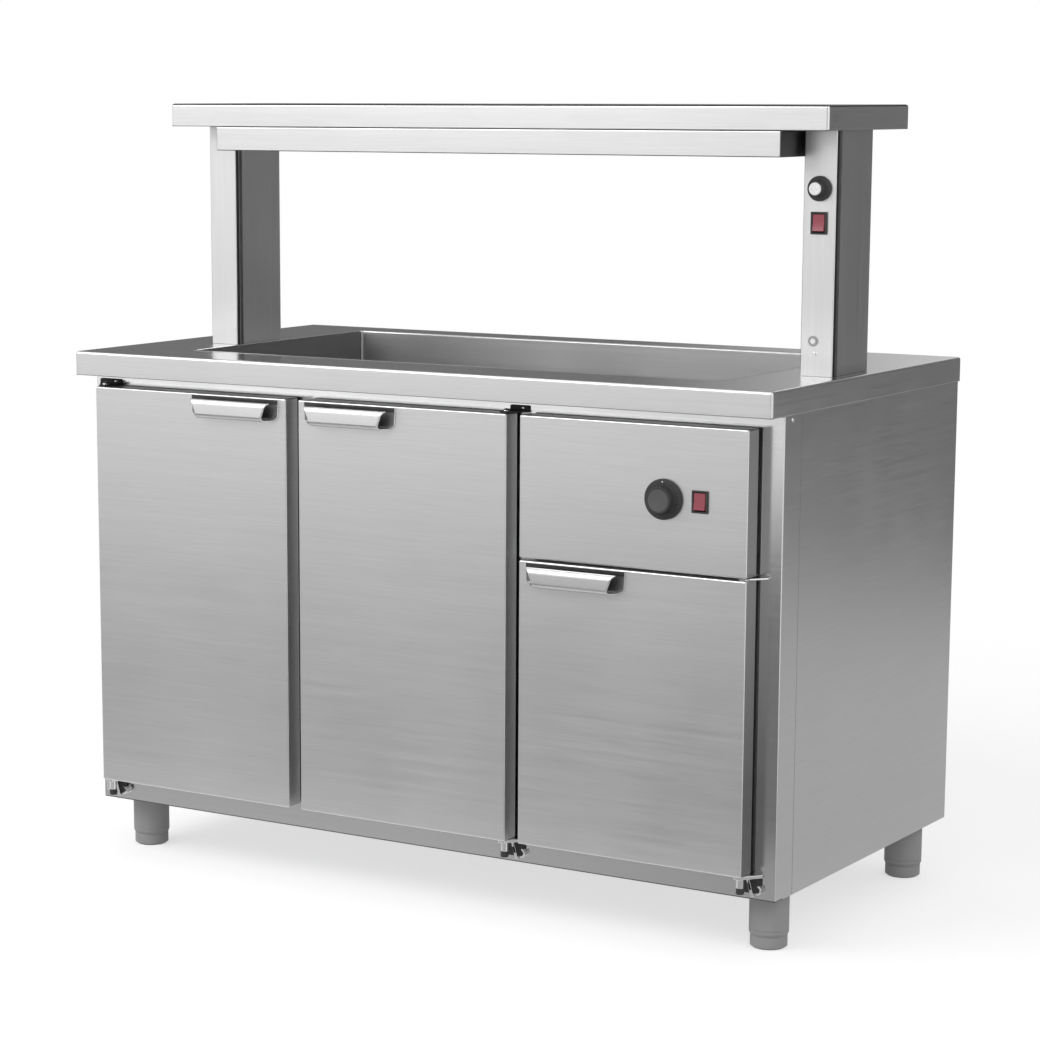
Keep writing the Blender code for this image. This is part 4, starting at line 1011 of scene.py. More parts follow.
# Doors


def pivot_of(name):
    """Where a door's hinge pins stand."""
    x, y, _ = spans(f"door_{name}_skin")
    edge = x[0] if DOORS[name] < 0 else x[1]
    return (edge - DOORS[name] * PIN_INSET, (y[0] + y[1]) / 2, 0)


def frame_gasket(name, node, body):
    """Bellows gasket round a door or panel, with mitred corners."""
    x, y, z = spans(node)
    width = bpy.context.scene.bain_sizes.gasket_width
    section = [(0.10, 0.0), (0.90, 0.0), (0.90, 0.18), (0.72, 0.24), (0.72, 0.34), (0.98, 0.42), (1.0, 0.80),
               (0.86, 1.0), (0.14, 1.0), (0.0, 0.80), (0.02, 0.42), (0.28, 0.34), (0.28, 0.24), (0.10, 0.18)]
    builder = bmesh.new()
    rings = []
    for inward, back in rounded_path(section, 0.06, 2, True):
        inset = -inward * width
        outline = rectangle(grown(x, inset), grown(z, inset))
        rings.append([builder.verts.new((a, y[0] + back * (y[1] - y[0]), b)) for a, b in outline])
    for first, second in zip(rings, rings[1:] + rings[:1]):
        skin(builder, first, second)
    settle(as_object(name, outward(builder), "rubber"), body, "rubber", node)


def handle_path(sizes, low, high):
    """Outer side of a handle's sheet, from the top of its back to its rolled lip."""
    bow, lip = sizes.handle_round, sizes.handle_lip
    top = high.z - 0.0008
    rim = top - sizes.handle_gap
    lip_turn = 72
    lip_height = rim - lip * math.sin(math.radians(lip_turn))
    path = [(high.y, top), (high.y, rim - 0.003)]
    path += arc((high.y - bow, low.z + bow), bow, 0, -90, 7)
    path += arc((low.y + bow, low.z + bow), bow, -90, -180, 7)
    return path + arc((low.y + lip, lip_height), lip, 180, 180 - lip_turn, 8)


def pull_handle(name, node, body):
    """Pull handle folded from one sheet, open at its top and its slanted ends, with painted shade inside."""
    sizes = bpy.context.scene.bain_sizes
    low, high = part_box(node)
    path = handle_path(sizes, low, high)
    middle, half, corner = (low.x + high.x) / 2, (high.x - low.x) / 2, sizes.handle_corner
    builder = bmesh.new()
    ends = []
    for side in (-1, 1):
        ring = []
        for y, z in sheet_outline(path, -sizes.handle_sheet):
            forward, drop = (high.y - y) / (high.y - low.y), (high.z - z) / (high.z - low.z)
            curve = max(0.0, corner - (z - low.z))
            rounding = corner - math.sqrt(corner ** 2 - curve ** 2)
            slant = sizes.handle_step + sizes.handle_taper * drop
            cut_off = forward * slant + (1 - forward) * rounding
            ring.append(builder.verts.new((middle + side * (half - cut_off), y, z)))
        ends.append(ring)
    skin(builder, *ends)
    builder.faces.ensure_lookup_table()
    last = 2 * len(path) - 2
    # Inner faces get painted shade, darkest on the back's upper inside under the lip
    for i in range(len(path), last + 1):
        builder.faces[i].material_index = 1 if i < last else 2
    for ring in ends:
        builder.faces.new(ring)
    piece = as_object(name, outward(builder), "steel_handle", "steel_painted_soft_shade", "steel_painted_shade")
    settle(eased(piece, 0.0005), body, "steel", node)


class BAIN_OT_doors(bpy.types.Operator):
    """Fold the three doors with their liners, gaskets and handles"""
    bl_idname = "bain.doors"
    bl_label = "Doors"

    def execute(self, context):
        sizes = context.scene.bain_sizes
        for name in DOORS:
            body = f"door_{name}"
            door = tray(f"{body}_sheet", f"{body}_skin", REAR, sizes.panel_sheet, sizes.door_fold)
            pivot = pivot_of(name)
            cut(door, *[cylinder_tool("Z", pivot, PIN_HOLE, z - TOOL_REACH, z + TOOL_REACH)
                        for z in spans(f"{body}_skin")[2]])
            if name == "right":
                shade_right_edge(door)
            settle(door, body, "steel", f"{body}_skin")
            x, y, z = spans(f"{body}_liner")
            liner = channel(f"{body}_back_sheet", x, *y, "Z", z, "steel_inner")
            settle(liner, body, "inner_steel", f"{body}_liner")
            frame_gasket(f"{body}_seal", f"{body}_gasket", body)
            pull_handle(f"{body}_pull", f"{body}_handle", body)
        return {"FINISHED"}


class BAIN_OT_hinges(bpy.types.Operator):
    """Bend the hinge brackets and fit their pivots"""
    bl_idname = "bain.hinges"
    bl_label = "Hinges"

    def execute(self, context):
        for name, hinge in DOORS.items():
            self.lower(f"door_{name}_lower_hinge", pivot_of(name))
            self.upper(f"door_{name}_upper_hinge", pivot_of(name), hinge)
        return {"FINISHED"}

    def tongue(self, builder, low, high, x, bottom, top):
        """Plate that runs from the rail to the pin and is rounded round it."""
        root, neck, wide, tip = high.y - 0.004, low.y + 0.008, 0.0085, 0.0060
        path = [(low.x, high.y), (low.x, root), (x - wide, neck), (x - tip, low.y), (x + tip, low.y),
                (x + wide, neck), (high.x, root), (high.x, high.y)]
        prism(builder, rounded_path(path, 0.003, 3, True), "Z", bottom, top)

    def pin(self, builder, pivot, profile, slot):
        lathe(builder, rounded_path(profile, 0.0007, 2), "Z", pivot, 32, slot)

    def finish(self, node, builder, *finishes):
        piece = as_object(f"{node}_bracket", outward(builder), *finishes)
        settle(eased(piece, 0.0004), "cabinet", "chrome", node)

    def lower(self, node, pivot):
        """Plate, lug, web and hook below the tongue, with the pin's bush and nut."""
        low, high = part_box(node)
        tip, base, back, middle = high.z, low.z, high.y, (low.x + high.x) / 2
        shelf = tip - PIN_LENGTH
        under = shelf - 0.0050
        joint, root = under + 0.0003, under + 0.0005
        builder = bmesh.new()
        self.tongue(builder, low, high, pivot[0], under, shelf - 0.0003)
        plate = rounded_rectangle((low.x + 0.004, high.x - 0.003), (base + 0.005, under), 0.004, 3)
        prism(builder, plate, "Y", back - 0.0025, back, 1)
        lug = rounded_rectangle((low.x, low.x + 0.0065), (base + 0.008, joint), 0.002, 3)
        prism(builder, lug, "Y", back - 0.0060, back)
        foot = base + 0.0010
        web = [(middle - 0.0060, joint), (middle - 0.0010, joint), (middle + 0.0080, foot), (middle + 0.0030, foot)]
        prism(builder, web, "Y", back - 0.0060, back)
        centre = (high.x - 0.0076, base + 0.0120)
        hook = arc(centre, 0.0075, -100, 80, 10) + arc(centre, 0.0046, 80, -100, 10)
        prism(builder, hook, "Y", back - 0.0080, back)
        self.pin(builder, pivot, drum(PIN_RADIUS, tip, root), 0)
        self.pin(builder, pivot, drum(0.0058, root, base + 0.0160), 0)
        self.pin(builder, pivot, drum(0.0064, base + 0.0165, base + 0.0070), 1)
        self.finish(node, builder, "chrome", "black_plastic")

    def upper(self, node, pivot, hinge):
        """Tongue and pin, with a plate, a stud and a dome where there is room above."""
        low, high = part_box(node)
        shelf = low.z + PIN_LENGTH
        bottom, top, back = shelf + 0.0003, shelf + 0.0028, high.y
        finishes = ["chrome", "black_plastic"]
        builder = bmesh.new()
        self.tongue(builder, low, high, pivot[0], bottom, top)
        if high.z - shelf > 0.004:
            finishes.reverse()
            start = pivot[0] - 0.006 if hinge > 0 else low.x
            plate = rounded_rectangle((start, high.x), (bottom, shelf + 0.0105), 0.0022, 3)
            prism(builder, plate, "Y", back - 0.0030, back)
            stud = [(0, back - 0.0052), (0.0018, back - 0.0047), (0.0030, back - 0.0028), (0, back - 0.0028)]
            lathe(builder, stud, "Y", (high.x - 0.0100, 0, shelf + 0.0062), 24, 1)
            dome = [(0, top + 0.0042), (0.0030, top + 0.0036), (0.0054, top + 0.0018), (0.0062, top - 0.0002),
                    (0, top - 0.0002)]
            self.pin(builder, pivot, dome, 1)
        self.pin(builder, pivot, drum(PIN_RADIUS, low.z, shelf + 0.002), 1)
        self.finish(node, builder, *finishes)


# Controls


class BAIN_OT_controls(bpy.types.Operator):
    """Make the control panel, the knobs, the rocker switches and the post's plug"""
    bl_idname = "bain.controls"
    bl_label = "Controls"

    def execute(self, context):
        sizes = context.scene.bain_sizes
        panel = tray("control_sheet", "control_panel", REAR, sizes.panel_sheet, sizes.door_fold,
                     sizes.control_lip)
        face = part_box("control_panel")[0].y
        depth = (face - TOOL_REACH, face + 0.005)
        spindle = axis_of("thermostat_knob", "Y")
        cut(panel, bezel_tool("main_switch_body", depth), cylinder_tool("Y", spindle, SPINDLE_HOLE, *depth))
        shade_right_edge(panel)
        settle(panel, "cabinet", "steel", "control_panel")
        frame_gasket("control_seal", "panel_gasket", "cabinet")
        self.switch("main_switch")
        self.switch("lamp_switch")
        self.thermostat(sizes)
        self.regulator()
        self.plug()
        return {"FINISHED"}

    def switch(self, name):
        """Bezel on the cabinet and the rocker on its own body."""
        bezel = softened(f"{name}_body", f"{name}_bezel", 0.0007, "black_plastic")
        settle(bezel, "cabinet", "black_plastic", f"{name}_body")
        rocker = softened(f"{name}_rocker", f"{name}_key", 0.0008, "red_plastic", segments=3)
        settle(rocker, f"{name}_rocker", "red_plastic", f"{name}_rocker")

    def spindle(self, builder, centre, back, end):
        lathe(builder, drum(SPINDLE, back, end), "Y", centre, 24)

    def thermostat(self, sizes):
        """Skirted knob with a ribbed grip, a paler face and a pale dot on the skirt."""
        low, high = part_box("thermostat_knob")
        centre, skirt = axis_of("thermostat_knob", "Y"), half_width("thermostat_knob")
        front, back = low.y, low.y + KNOB_DEPTH
        grip = skirt * 0.68
        dish, sunk = grip * 0.80, front + 0.0006
        profile = [(0, back), (skirt, back), (skirt, back - 0.0045), (skirt * 0.95, back - 0.0060),
                   (grip * 1.06, back - 0.0065), (grip * 1.02, back - 0.0080), (grip * 0.97, front + 0.0012),
                   (grip * 0.91, front)]
        builder = bmesh.new()
        lathe(builder, rounded_path(profile, 0.0010, 3) + [(dish, sunk), (0, sunk)], "Y", centre, 64)
        for part in builder.faces:
            spot = part.calc_center_median()
            if spot.y < front + 0.0008 and Vector((spot.x - centre.x, spot.z - centre.z)).length < dish:
                part.material_index = 1
        self.spindle(builder, centre, back, high.y)
        dot = [(0, back - 0.0064), (0.0011, back - 0.0063), (0.0011, back - 0.0050), (0, back - 0.0050)]
        lathe(builder, dot, "Y", (centre.x, 0, centre.z + skirt * 0.86), 16, 2)
        knob = as_object("thermostat_grip", outward(builder), "black_plastic", "knob_face", "knob_cap")
        settle(knob, "thermostat_knob", "black_plastic", "thermostat_knob")
        ribs = grow("thermostat_ribs", bpy.data.meshes.new("thermostat_ribs"), rib_tree(), Count=sizes.knob_ribs,
                    Radius=grip * 0.995, Size=(0.0016, 0.0018, 0.0095), Finish=bpy.data.materials["black_plastic"])
        ribs.data.transform(Matrix.Translation((centre.x, back - 0.0128, centre.z))
                            @ Matrix.Rotation(QUARTER_TURN, 4, "X"))
        settle(ribs, "thermostat_knob", "black_plastic")

    def regulator(self):
        """Small skirted knob with a pale dished cap."""
        low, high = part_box("regulator_knob")
        centre, skirt = axis_of("regulator_knob", "Y"), half_width("regulator_knob")
        front, back = low.y, low.y + KNOB_DEPTH
        grip = skirt * 0.63
        rim, base = front + 0.0040, front + 0.0048
        profile = [(0, back), (skirt, back), (skirt, back - 0.0040), (skirt * 0.93, back - 0.0058),
                   (grip * 1.06, back - 0.0062), (grip * 0.98, rim), (grip * 0.82, rim)]
        cap = [(grip * 0.81, base), (grip * 0.80, front + 0.0012), (grip * 0.62, front),
               (grip * 0.40, front + 0.0001), (grip * 0.34, front + 0.0009), (grip * 0.24, front + 0.0009),
               (grip * 0.18, front + 0.0002), (0, front + 0.0002)]
        builder = bmesh.new()
        lathe(builder, rounded_path(profile, 0.0008, 3), "Y", centre, 48)
        lathe(builder, [(0, base)] + rounded_path(cap, 0.0006, 3), "Y", centre, 48, 1)
        self.spindle(builder, centre, back, high.y)
        bmesh.ops.holes_fill(builder, edges=[e for e in builder.edges if len(e.link_faces) == 1])
        knob = as_object("regulator_grip", outward(builder), "black_plastic", "knob_cap")
        settle(knob, "regulator_knob", "black_plastic", "regulator_knob")

    def plug(self):
        """Grommet with a sunk, paler middle."""
        low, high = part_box("post_plug")
        centre, radius = axis_of("post_plug", "Y"), half_width("post_plug")
        sunk, rear = low.y + 0.0009, low.y + 0.002
        profile = [(0, sunk), (radius * 0.55, sunk), (radius * 0.62, low.y), (radius * 0.92, low.y),
                   (radius, low.y + 0.0010), (radius, rear), (PLUG_STEM, rear), (PLUG_STEM, high.y), (0, high.y)]
        grommet = turned("post_grommet", rounded_path(profile, 0.0005, 2), "Y", centre, 40, "grey_plastic")
        refinish(grommet, "knob_cap", lambda face: face.center.y < low.y + 0.0010 and
                 math.hypot(face.center.x - centre.x, face.center.z - centre.z) < radius * 0.5)
        settle(grommet, "cabinet", "grey_plastic", "post_plug")


# Posts, overshelf and lamp


class BAIN_OT_posts(bpy.types.Operator):
    """Fold the two posts and the covers on their fronts"""
    bl_idname = "bain.posts"
    bl_label = "Posts"

    def execute(self, context):
        sizes = context.scene.bain_sizes
        for side in ("left", "right"):
            core, cover = self.core(side, sizes), self.cover(side)
            if side == "right":
                for piece in (core, cover):
                    cut(piece, *self.holes())
            settle(core, "cabinet", "steel", f"post_{side}_core")
            settle(cover, "cabinet", "steel", f"post_{side}_cover")
        return {"FINISHED"}

    def core(self, side, sizes):
        """Tube with a groove along each side, with painted shade along the groove's slanted wall."""
        x, y, z = spans(f"post_{side}_core")
        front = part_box(f"post_{side}_cover")[0].y
        near, far = front + sizes.cover_flange - 0.003, front + sizes.post_groove_end
        deep, step, slant = sizes.post_groove, near + 0.001, far - sizes.post_groove_slope
        left, right = x[0] + deep, x[1] - deep
        outer = [(x[0], y[0]), (x[1], y[0]), (x[1], near), (right, step), (right, slant), (x[1], far),
                 (x[1], y[1]), (x[0], y[1]), (x[0], far), (left, slant), (left, step), (x[0], near)]
        tube = drawn(f"post_{side}_tube", rounded_path(outer, 0.0012, 3, True), "Z", *z, "steel_post")
        wall = sizes.top_sheet + deep
        cut(tube, block_tool(grown(x, -wall), grown(y, -wall), grown(z, TOOL_REACH)))
        return refinish(tube, "steel_painted_shade", lambda face: slant - 0.0004 < face.center.y < far + 0.0002 and
                        abs(face.normal.x) > 0.5 and abs(face.normal.y) > 0.15)

    def cover(self, side):
        x, y, z = spans(f"post_{side}_cover")
        front = channel(f"post_{side}_front", x, y[1], y[0], "Z", z, "steel_post")
        # The cover's side folds get painted shade, for the shadow gap beside the tube
        return refinish(front, "steel_painted_shade", lambda face: not -0.5 < face.normal.x < 0.97)

    def holes(self):
        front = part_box("post_right_cover")[0].y
        depth = (front - TOOL_REACH, front + 0.006)
        tools = [bezel_tool("lamp_switch_body", depth)]
        for node, radius in (("regulator_knob", SPINDLE_HOLE), ("post_plug", PLUG_HOLE)):
            tools.append(cylinder_tool("Y", axis_of(node, "Y"), radius, *depth))
        return tools


class BAIN_OT_overshelf(bpy.types.Operator):
    """Fold the overshelf"""
    bl_idname = "bain.overshelf"
    bl_label = "Overshelf"

    def execute(self, context):
        sizes = context.scene.bain_sizes
        shelf = tray("overshelf_sheet", "overshelf", BOTTOM, sizes.top_sheet, sizes.top_fold, sizes.shelf_lip)
        brush_level_faces(shelf)
        shade_lower_folds(shelf)
        # The upper part of the top fold gets a painted dark line, a painted reflection of the dark backdrop along
        # the top edge
        refinish(shelf, "steel_painted_shade", lambda face: 0.5 < face.normal.z < 0.995)
        settle(shelf, "cabinet", "steel", "overshelf")
        return {"FINISHED"}


class BAIN_OT_lamp(bpy.types.Operator):
    """Make the lamp housing, its reflector and the quartz lamp"""
    bl_idname = "bain.lamp"
    bl_label = "Heat lamp"

    def execute(self, context):
        sizes = context.scene.bain_sizes
        housing = tray("lamp_box", "lamp_housing", BOTTOM, sizes.panel_sheet, sizes.panel_fold, sizes.lamp_lip)
        shade_lower_folds(housing)
        # The end faces get painted shade, for the dark gap beside the posts
        refinish(housing, "steel_painted_shade", lambda face: abs(face.normal.x) > 0.5)
        settle(housing, "cabinet", "steel", "lamp_housing")
        self.reflector(sizes)
        self.lamp(sizes)
        return {"FINISHED"}

    def reflector(self, sizes):
        """Thin sheet, flat in the middle and bowed down to its edges."""
        low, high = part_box("lamp_reflector")
        middle, half, drop = (low.y + high.y) / 2, (high.y - low.y) / 2, high.z - low.z
        flat, steps, bow_power = 0.045, 12, 1.3
        path = []
        for i in range(steps + 1):
            t = i / steps * 2 - 1
            bow = max(0.0, (abs(t) * half - flat) / (half - flat))
            path.append((middle + t * half, high.z - drop * bow ** bow_power))
        mirror = drawn("lamp_mirror", sheet_outline(path, -sizes.panel_sheet * 0.6), "X", low.x, high.x, "mirror")
        settle(mirror, "cabinet", "chrome", "lamp_reflector")

    def lamp(self, sizes):
        """Quartz tube with a wound filament between two ceramic caps."""
        low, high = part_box("lamp_tube")
        centre = axis_of("lamp_tube", "X")
        builder = bmesh.new()
        for end, cap in ((low.x, LAMP_CAP), (high.x, -LAMP_CAP)):
            profile = [(0, end), (0.009, end), (0.009, end + cap * 0.6), (0.0078, end + cap * 0.7),
                       (0.0085, end + cap), (0, end + cap)]
            lathe(builder, rounded_path(profile, 0.0010, 2), "X", centre, 28)
        settle(as_object("lamp_ends", outward(builder), "ceramic"), "cabinet", "quartz", "lamp_tube")
        sunk = 0.004
        start, end = low.x + LAMP_CAP - sunk, high.x - LAMP_CAP + sunk
        bore, outer = 0.0048, 0.006
        builder = bmesh.new()
        lathe(builder, [(bore, start), (outer, start), (outer, end), (bore, end)], "X", centre, 24, closed=True)
        settle(as_object("lamp_glass", outward(builder), "quartz"), "cabinet", "quartz")
        coil = grow("lamp_coil", bpy.data.meshes.new("lamp_coil"), coil_tree(), Turns=float(sizes.coil_turns),
                    Radius=0.0030, Length=end - start, Wire=0.00045, Finish=bpy.data.materials["filament"])
        coil.data.transform(Matrix.Translation((start, centre.y, centre.z))
                            @ Matrix.Rotation(QUARTER_TURN, 4, "Y"))
        settle(coil, "cabinet", "quartz")


# Legs, drain and what is inside


class BAIN_OT_legs(bpy.types.Operator):
    """Turn the four legs and their screw feet"""
    bl_idname = "bain.legs"
    bl_label = "Legs"

    def execute(self, context):
        for corner in ("front_left", "front_right", "rear_left", "rear_right"):
            leg, foot = f"leg_{corner}", f"foot_{corner}"
            sleeve = self.turn(f"{leg}_sleeve", leg, self.sleeve(leg))
            settle(sleeve, "cabinet", "grey_plastic", leg)
            pad = self.turn(f"{foot}_pad", foot, self.pad(foot, leg))
            settle(pad, foot, "grey_plastic", foot)
        return {"FINISHED"}

    def turn(self, name, node, profile):
        return turned(name, rounded_path(profile, 0.0003, 2), "Z", axis_of(node, "Z"), 64, "grey_plastic")

    def sleeve(self, leg):
        """Profile of a sleeve, bored for the foot's stem."""
        low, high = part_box(leg)
        radius, end = half_width(leg), high.z - 0.006
        return [(0, high.z), (radius, high.z), (radius, low.z), (FOOT_BORE, low.z), (FOOT_BORE, end), (0, end)]

    def pad(self, foot, leg):
        """Profile of a foot: a stem, a collar as wide as the sleeve, a groove and a chamfer."""
        low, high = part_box(foot)
        radius, wide = half_width(foot), half_width(leg)
        top, groove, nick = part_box(leg)[0].z - 0.0002, low.z + 0.0195, 0.0010
        return [(0, high.z), (FOOT_STEM, high.z), (FOOT_STEM, top), (wide, top), (wide, groove + 0.0055),
                (radius, groove + nick), (radius - nick, groove), (radius, groove - nick),
                (radius, low.z + 0.0030), (radius - 0.0040, low.z), (0, low.z)]


class BAIN_OT_drain(bpy.types.Operator):
    """Turn the drain valve and its lever"""
    bl_idname = "bain.drain"
    bl_label = "Drain valve"

    def execute(self, context):
        valve = softened("drain_valve", "drain_cock", 0.0008, "brass")
        settle(valve, "cabinet", "brass", "drain_valve")
        lever = softened("drain_lever", "drain_handle", 0.0012, "red_plastic", segments=3)
        settle(lever, "drain_lever", "red_plastic", "drain_lever")
        return {"FINISHED"}


class BAIN_OT_inside(bpy.types.Operator):
    """Finish the pieces inside and the cable gland"""
    bl_idname = "bain.inside"
    bl_label = "Inside"

    def execute(self, context):
        kept = {"bay_partition": "steel_inner", "bay_divider": "steel_inner", "insulation_jacket": "foil",
                "heating_element": "steel_inner", "thermostat_body": "black_plastic",
                "regulator_body": "black_plastic", "terminal_block": "ceramic"}
        for node, finish in kept.items():
            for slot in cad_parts[node].material_slots:
                slot.material = bpy.data.materials[finish]
        self.gland()
        return {"FINISHED"}

    def gland(self):
        """Cable gland with a hexagon nut and a domed end."""
        low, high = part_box("cable_gland")
        centre, face = axis_of("cable_gland", "Y"), high.y - 0.020
        bore, thread, collar, neck = 0.006, 0.012, 0.0135, 0.0118
        profile = [(bore, low.y), (thread, low.y), (thread, face), (collar, face), (collar, face + 0.0095),
                   (neck, face + 0.0105), (neck, face + 0.0130), (0.0124, face + 0.0150), (0.0105, high.y),
                   (bore, high.y)]
        builder = bmesh.new()
        lathe(builder, rounded_path(profile, 0.0006, 2, True), "Y", centre, 40, closed=True)
        hexagon = arc((centre.x, centre.z), 0.016, 0, 300, 5)
        prism(builder, rounded_path(hexagon, 0.0015, 2, True), "Y", face + 0.0002, face + 0.0080)
        settle(as_object("cable_entry", outward(builder), "black_plastic"), "cabinet", "black_plastic",
               "cable_gland")


class BAIN_OT_screws(bpy.types.Operator):
    """Set the screws in the frame, the back and the post"""
    bl_idname = "bain.screws"
    bl_label = "Screws"

    def execute(self, context):
        low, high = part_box("front_frame")
        places = [((x, low.y + 0.0262, high.z - 0.0075), (side, 0, 0)) for side, x in ((-1, low.x), (1, high.x))]
        low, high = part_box("back_panel")
        inset, end_inset, sunk, middle = 0.020, 0.025, 0.0012, (low.z + high.z) / 2
        for x in (low.x + inset, 0.0, high.x - inset):
            for z in (low.z + end_inset, middle, high.z - end_inset):
                if x or z != middle:
                    places.append(((x, low.y + sunk, z), (0, 1, 0)))
        screws("frame_screws", places)
        point = (axis_of("post_plug", "Z").x + 0.004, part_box("post_right_cover")[0].y,
                 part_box("post_plug")[0].z - 0.011)
        screws("post_screw", [(point, (0, -1, 0))], scale=0.95)
        return {"FINISHED"}


# Stage


def seen_rays(tree):
    """Rays that show a surface: to the camera, mirrored or through glass."""
    path = tree.nodes.new("ShaderNodeLightPath").outputs
    seen = math_node(tree, "MAXIMUM", path["Is Camera Ray"], path["Is Glossy Ray"])
    return math_node(tree, "MAXIMUM", seen, path["Is Transmission Ray"])


def bare_material(name):
    """Material without a shader, and the object's coordinates."""
    material = bpy.data.materials.new(name)
    material.use_nodes = True
    tree = material.node_tree
    tree.nodes.remove(tree.nodes["Principled BSDF"])
    return material, tree, tree.nodes.new("ShaderNodeTexCoord").outputs["Object"]


def cover_with(tree, shader):
    feed(tree, tree.nodes["Material Output"].inputs["Surface"], shader)


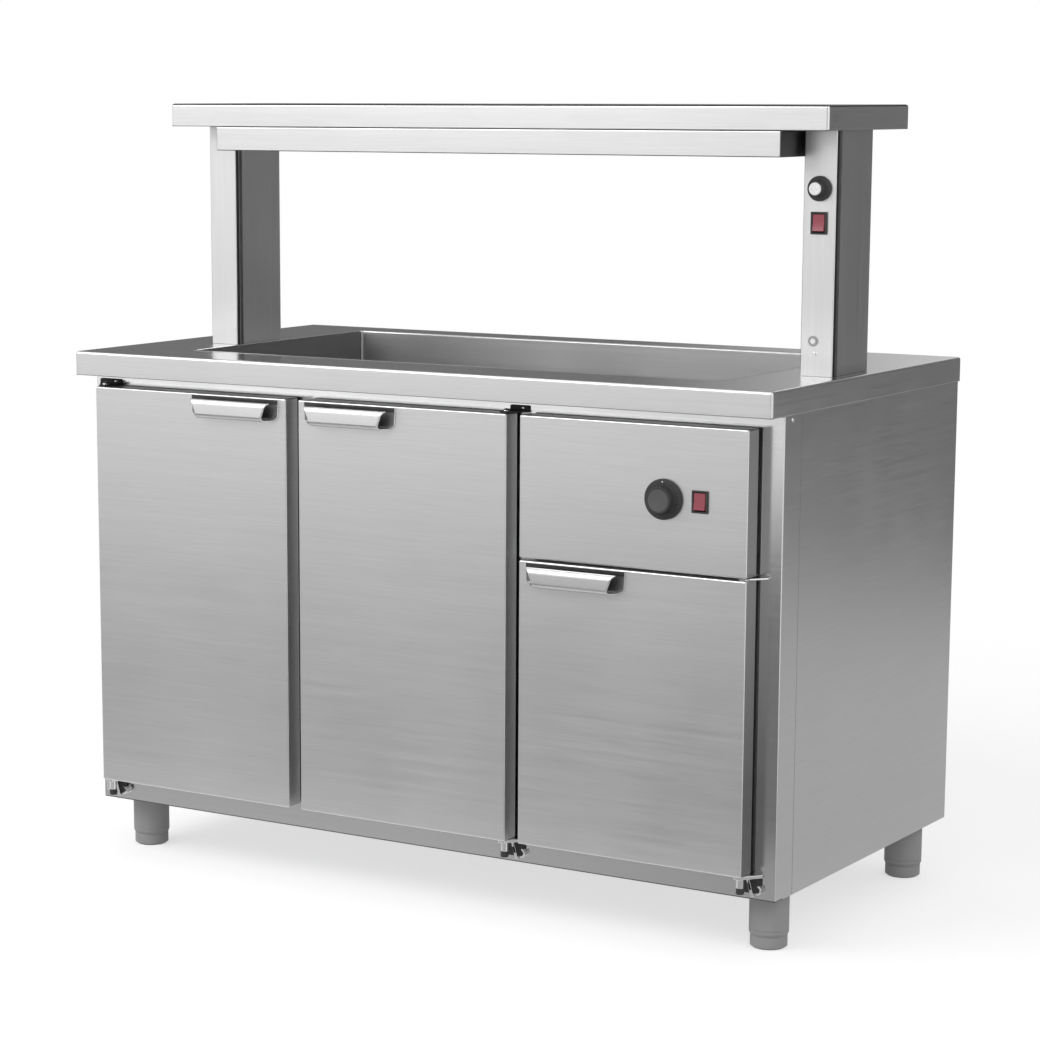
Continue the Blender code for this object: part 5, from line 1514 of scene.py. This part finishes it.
class BAIN_OT_stage(bpy.types.Operator):
    """Lay the floor, hang the lamps and cards and set the camera"""
    bl_idname = "bain.stage"
    bl_label = "Studio"

    def execute(self, context):
        look = context.scene.bain_stage
        context.scene.view_settings.view_transform = "Standard"
        self.world(context.scene, look)
        self.floor(look)
        self.lamp("key", (-2.2, -3.4, 3.4), (0, 0, 0.6), (3.2, 2.4), look.key_power)
        self.lamp("fill", (3.2, -1.6, 2.6), (0.3, 0, 0.6), (2.0, 2.0), look.fill_power)
        self.cards(look)
        self.camera(context.scene, look)
        return {"FINISHED"}

    def world(self, scene, look):
        """White all round where it is seen, and dimmer where it lights."""
        scene.world = bpy.data.worlds.new("studio")
        scene.world.use_nodes = True
        tree = scene.world.node_tree
        back = tree.nodes["Background"]
        back.inputs["Color"].default_value = (1.0, 1.0, 1.0, 1.0)
        rise = math_node(tree, "MULTIPLY", seen_rays(tree), 1.0 - look.sky)
        feed(tree, back.inputs["Strength"], math_node(tree, "ADD", rise, look.sky))

    def plane(self, name, corners, material):
        mesh = bpy.data.meshes.new(name)
        mesh.from_pydata(corners, [], [(0, 1, 2, 3)])
        mesh.materials.append(material)
        made = add_object(name, mesh)
        return made

    def floor(self, look):
        """Matt floor that looks paler than it is lit, keeps the shadow and turns white far off."""
        half, near_end, far_start = 14, 1.2, 2.6
        material, tree, where = bare_material("pale_floor")
        matt = add_node(tree, "ShaderNodeBsdfDiffuse", Color=(*look.floor, 1.0))
        pale = add_node(tree, "ShaderNodeEmission",
                        Strength=math_node(tree, "MULTIPLY", seen_rays(tree), look.glow))
        near = add_fed(tree, "ShaderNodeAddShader", matt, pale)
        far = tree.nodes.new("ShaderNodeEmission")
        reach = add_fed(tree, "ShaderNodeVectorMath", where, operation="LENGTH").outputs["Value"]
        distance = spread(tree, reach, 0.0, 1.0, near_end, far_start)
        cover_with(tree, add_fed(tree, "ShaderNodeMixShader", distance, near, far))
        self.plane("floor", [(a, b, 0) for a, b in rectangle((-half, half), (-half, half))], material)

    def lamp(self, name, place, target, size, power):
        data = bpy.data.lights.new(name, "AREA")
        data.shape = "RECTANGLE"
        data.size, data.size_y = size
        data.energy = power
        made = add_object(name, data)
        made.location = place
        made.rotation_euler = (Vector(target) - Vector(place)).to_track_quat("-Z", "Y").to_euler()

    def card(self, name, corners, *ramps):
        """Grey card that only mirrors in the steel. Its tone is the product of ramps along or across it."""
        material, tree, where = bare_material(name)
        along = add_fed(tree, "ShaderNodeSeparateXYZ", where).outputs
        slope = math_node(tree, "MULTIPLY", along["Y"], 0.6)
        lines = {"X": along["X"], "Y": along["Y"], "aslant": math_node(tree, "SUBTRACT", along["X"], slope)}
        level = 1.0
        for line, start, end, first, second in ramps:
            level = math_node(tree, "MULTIPLY", level, spread(tree, lines[line], first, second, start, end))
        cover_with(tree, add_node(tree, "ShaderNodeEmission", Strength=level))
        made = self.plane(name, corners, material)
        for ray in ("visible_camera", "visible_diffuse", "visible_shadow", "visible_transmission"):
            setattr(made, ray, False)

    def lying(self, x, y):
        return [(a, b, CARD_LIFT) for a, b in rectangle(x, y)]

    def standing(self, x, y, height):
        return [(a, y, b) for a, b in rectangle(x, (0, height))]

    def cards(self, look):
        """Each ramp is a line, its start and end, and the tones there."""
        mid, side, near = look.mid_card, look.side_card, look.near_card
        dimmed = ("aslant", 0.2, 1.0, 1.0, 0.75)
        self.card("card_back", self.standing((-7, 8), 3.2, 8),
                  ("X", -1.5, -0.3, look.back_card / mid, 1.0), ("X", -0.1, 1.1, mid, look.dark_card))
        self.card("card_right", self.lying((0.7, 6), (-0.7, 3.2)),
                  ("Y", 0.5, 2.0, 0.88, 1.0), ("Y", 2.8, 3.2, side, look.dark_card))
        self.card("card_front", self.lying((-7, 1.5), (-8.9, -1)), ("Y", -7.2, -3.5, 2.0, near), dimmed)
        self.card("card_near", self.lying((-6, 1.5), (-1, -0.45)), ("Y", -1.0, -0.8, near, look.rail_card), dimmed)
        self.card("card_far", self.standing((-11, 6), -9, 6),
                  ("X", -4.6, -3.4, 0.96, 0.73), ("X", 1.0, 2.6, 1.0, 0.3))

    def camera(self, scene, look):
        tilt, turn = 10.044, 32.704
        data = bpy.data.cameras.new("camera")
        data.lens = look.lens
        data.sensor_width = 36.0
        data.shift_x, data.shift_y = 0.0913, 0.0962
        scene.camera = add_object("camera", data)
        scene.camera.location = (2.5471, -4.2329, 1.2954)
        scene.camera.rotation_euler = (math.radians(90 - tilt), 0.0, math.radians(turn))


class BAIN_PT_panel(bpy.types.Panel):
    """Steps that dress the counter"""
    bl_idname = "BAIN_PT_panel"
    bl_label = "Bain-marie counter"
    bl_space_type = "VIEW_3D"
    bl_region_type = "UI"
    bl_category = "Bain-marie"

    def draw(self, context):
        for step in STEPS:
            self.layout.operator(step.bl_idname)
        for group in GROUPS:
            holder = getattr(context.scene, group)
            column = self.layout.column(align=True)
            for label in holder.__annotations__:
                column.prop(holder, label)


GROUPS = {"bain_sizes": BainSizes, "bain_finishes": BainFinishes, "bain_stage": BainStage}
STEPS = (BAIN_OT_finishes, BAIN_OT_stage, BAIN_OT_worktop, BAIN_OT_well, BAIN_OT_face_frame, BAIN_OT_panels,
         BAIN_OT_doors, BAIN_OT_hinges, BAIN_OT_controls, BAIN_OT_posts, BAIN_OT_overshelf, BAIN_OT_lamp,
         BAIN_OT_legs, BAIN_OT_drain, BAIN_OT_inside, BAIN_OT_screws)


def register():
    for made in (*GROUPS.values(), *STEPS, BAIN_PT_panel):
        bpy.utils.register_class(made)
    for name, group in GROUPS.items():
        setattr(bpy.types.Scene, name, bpy.props.PointerProperty(type=group))


def unregister():
    for name in GROUPS:
        delattr(bpy.types.Scene, name)
    for made in (BAIN_PT_panel, *STEPS, *GROUPS.values()):
        bpy.utils.unregister_class(made)


def main():
    register()
    for step in STEPS:
        family, name = step.bl_idname.split(".")
        getattr(getattr(bpy.ops, family), name)()


if __name__ == "__main__":
    main()
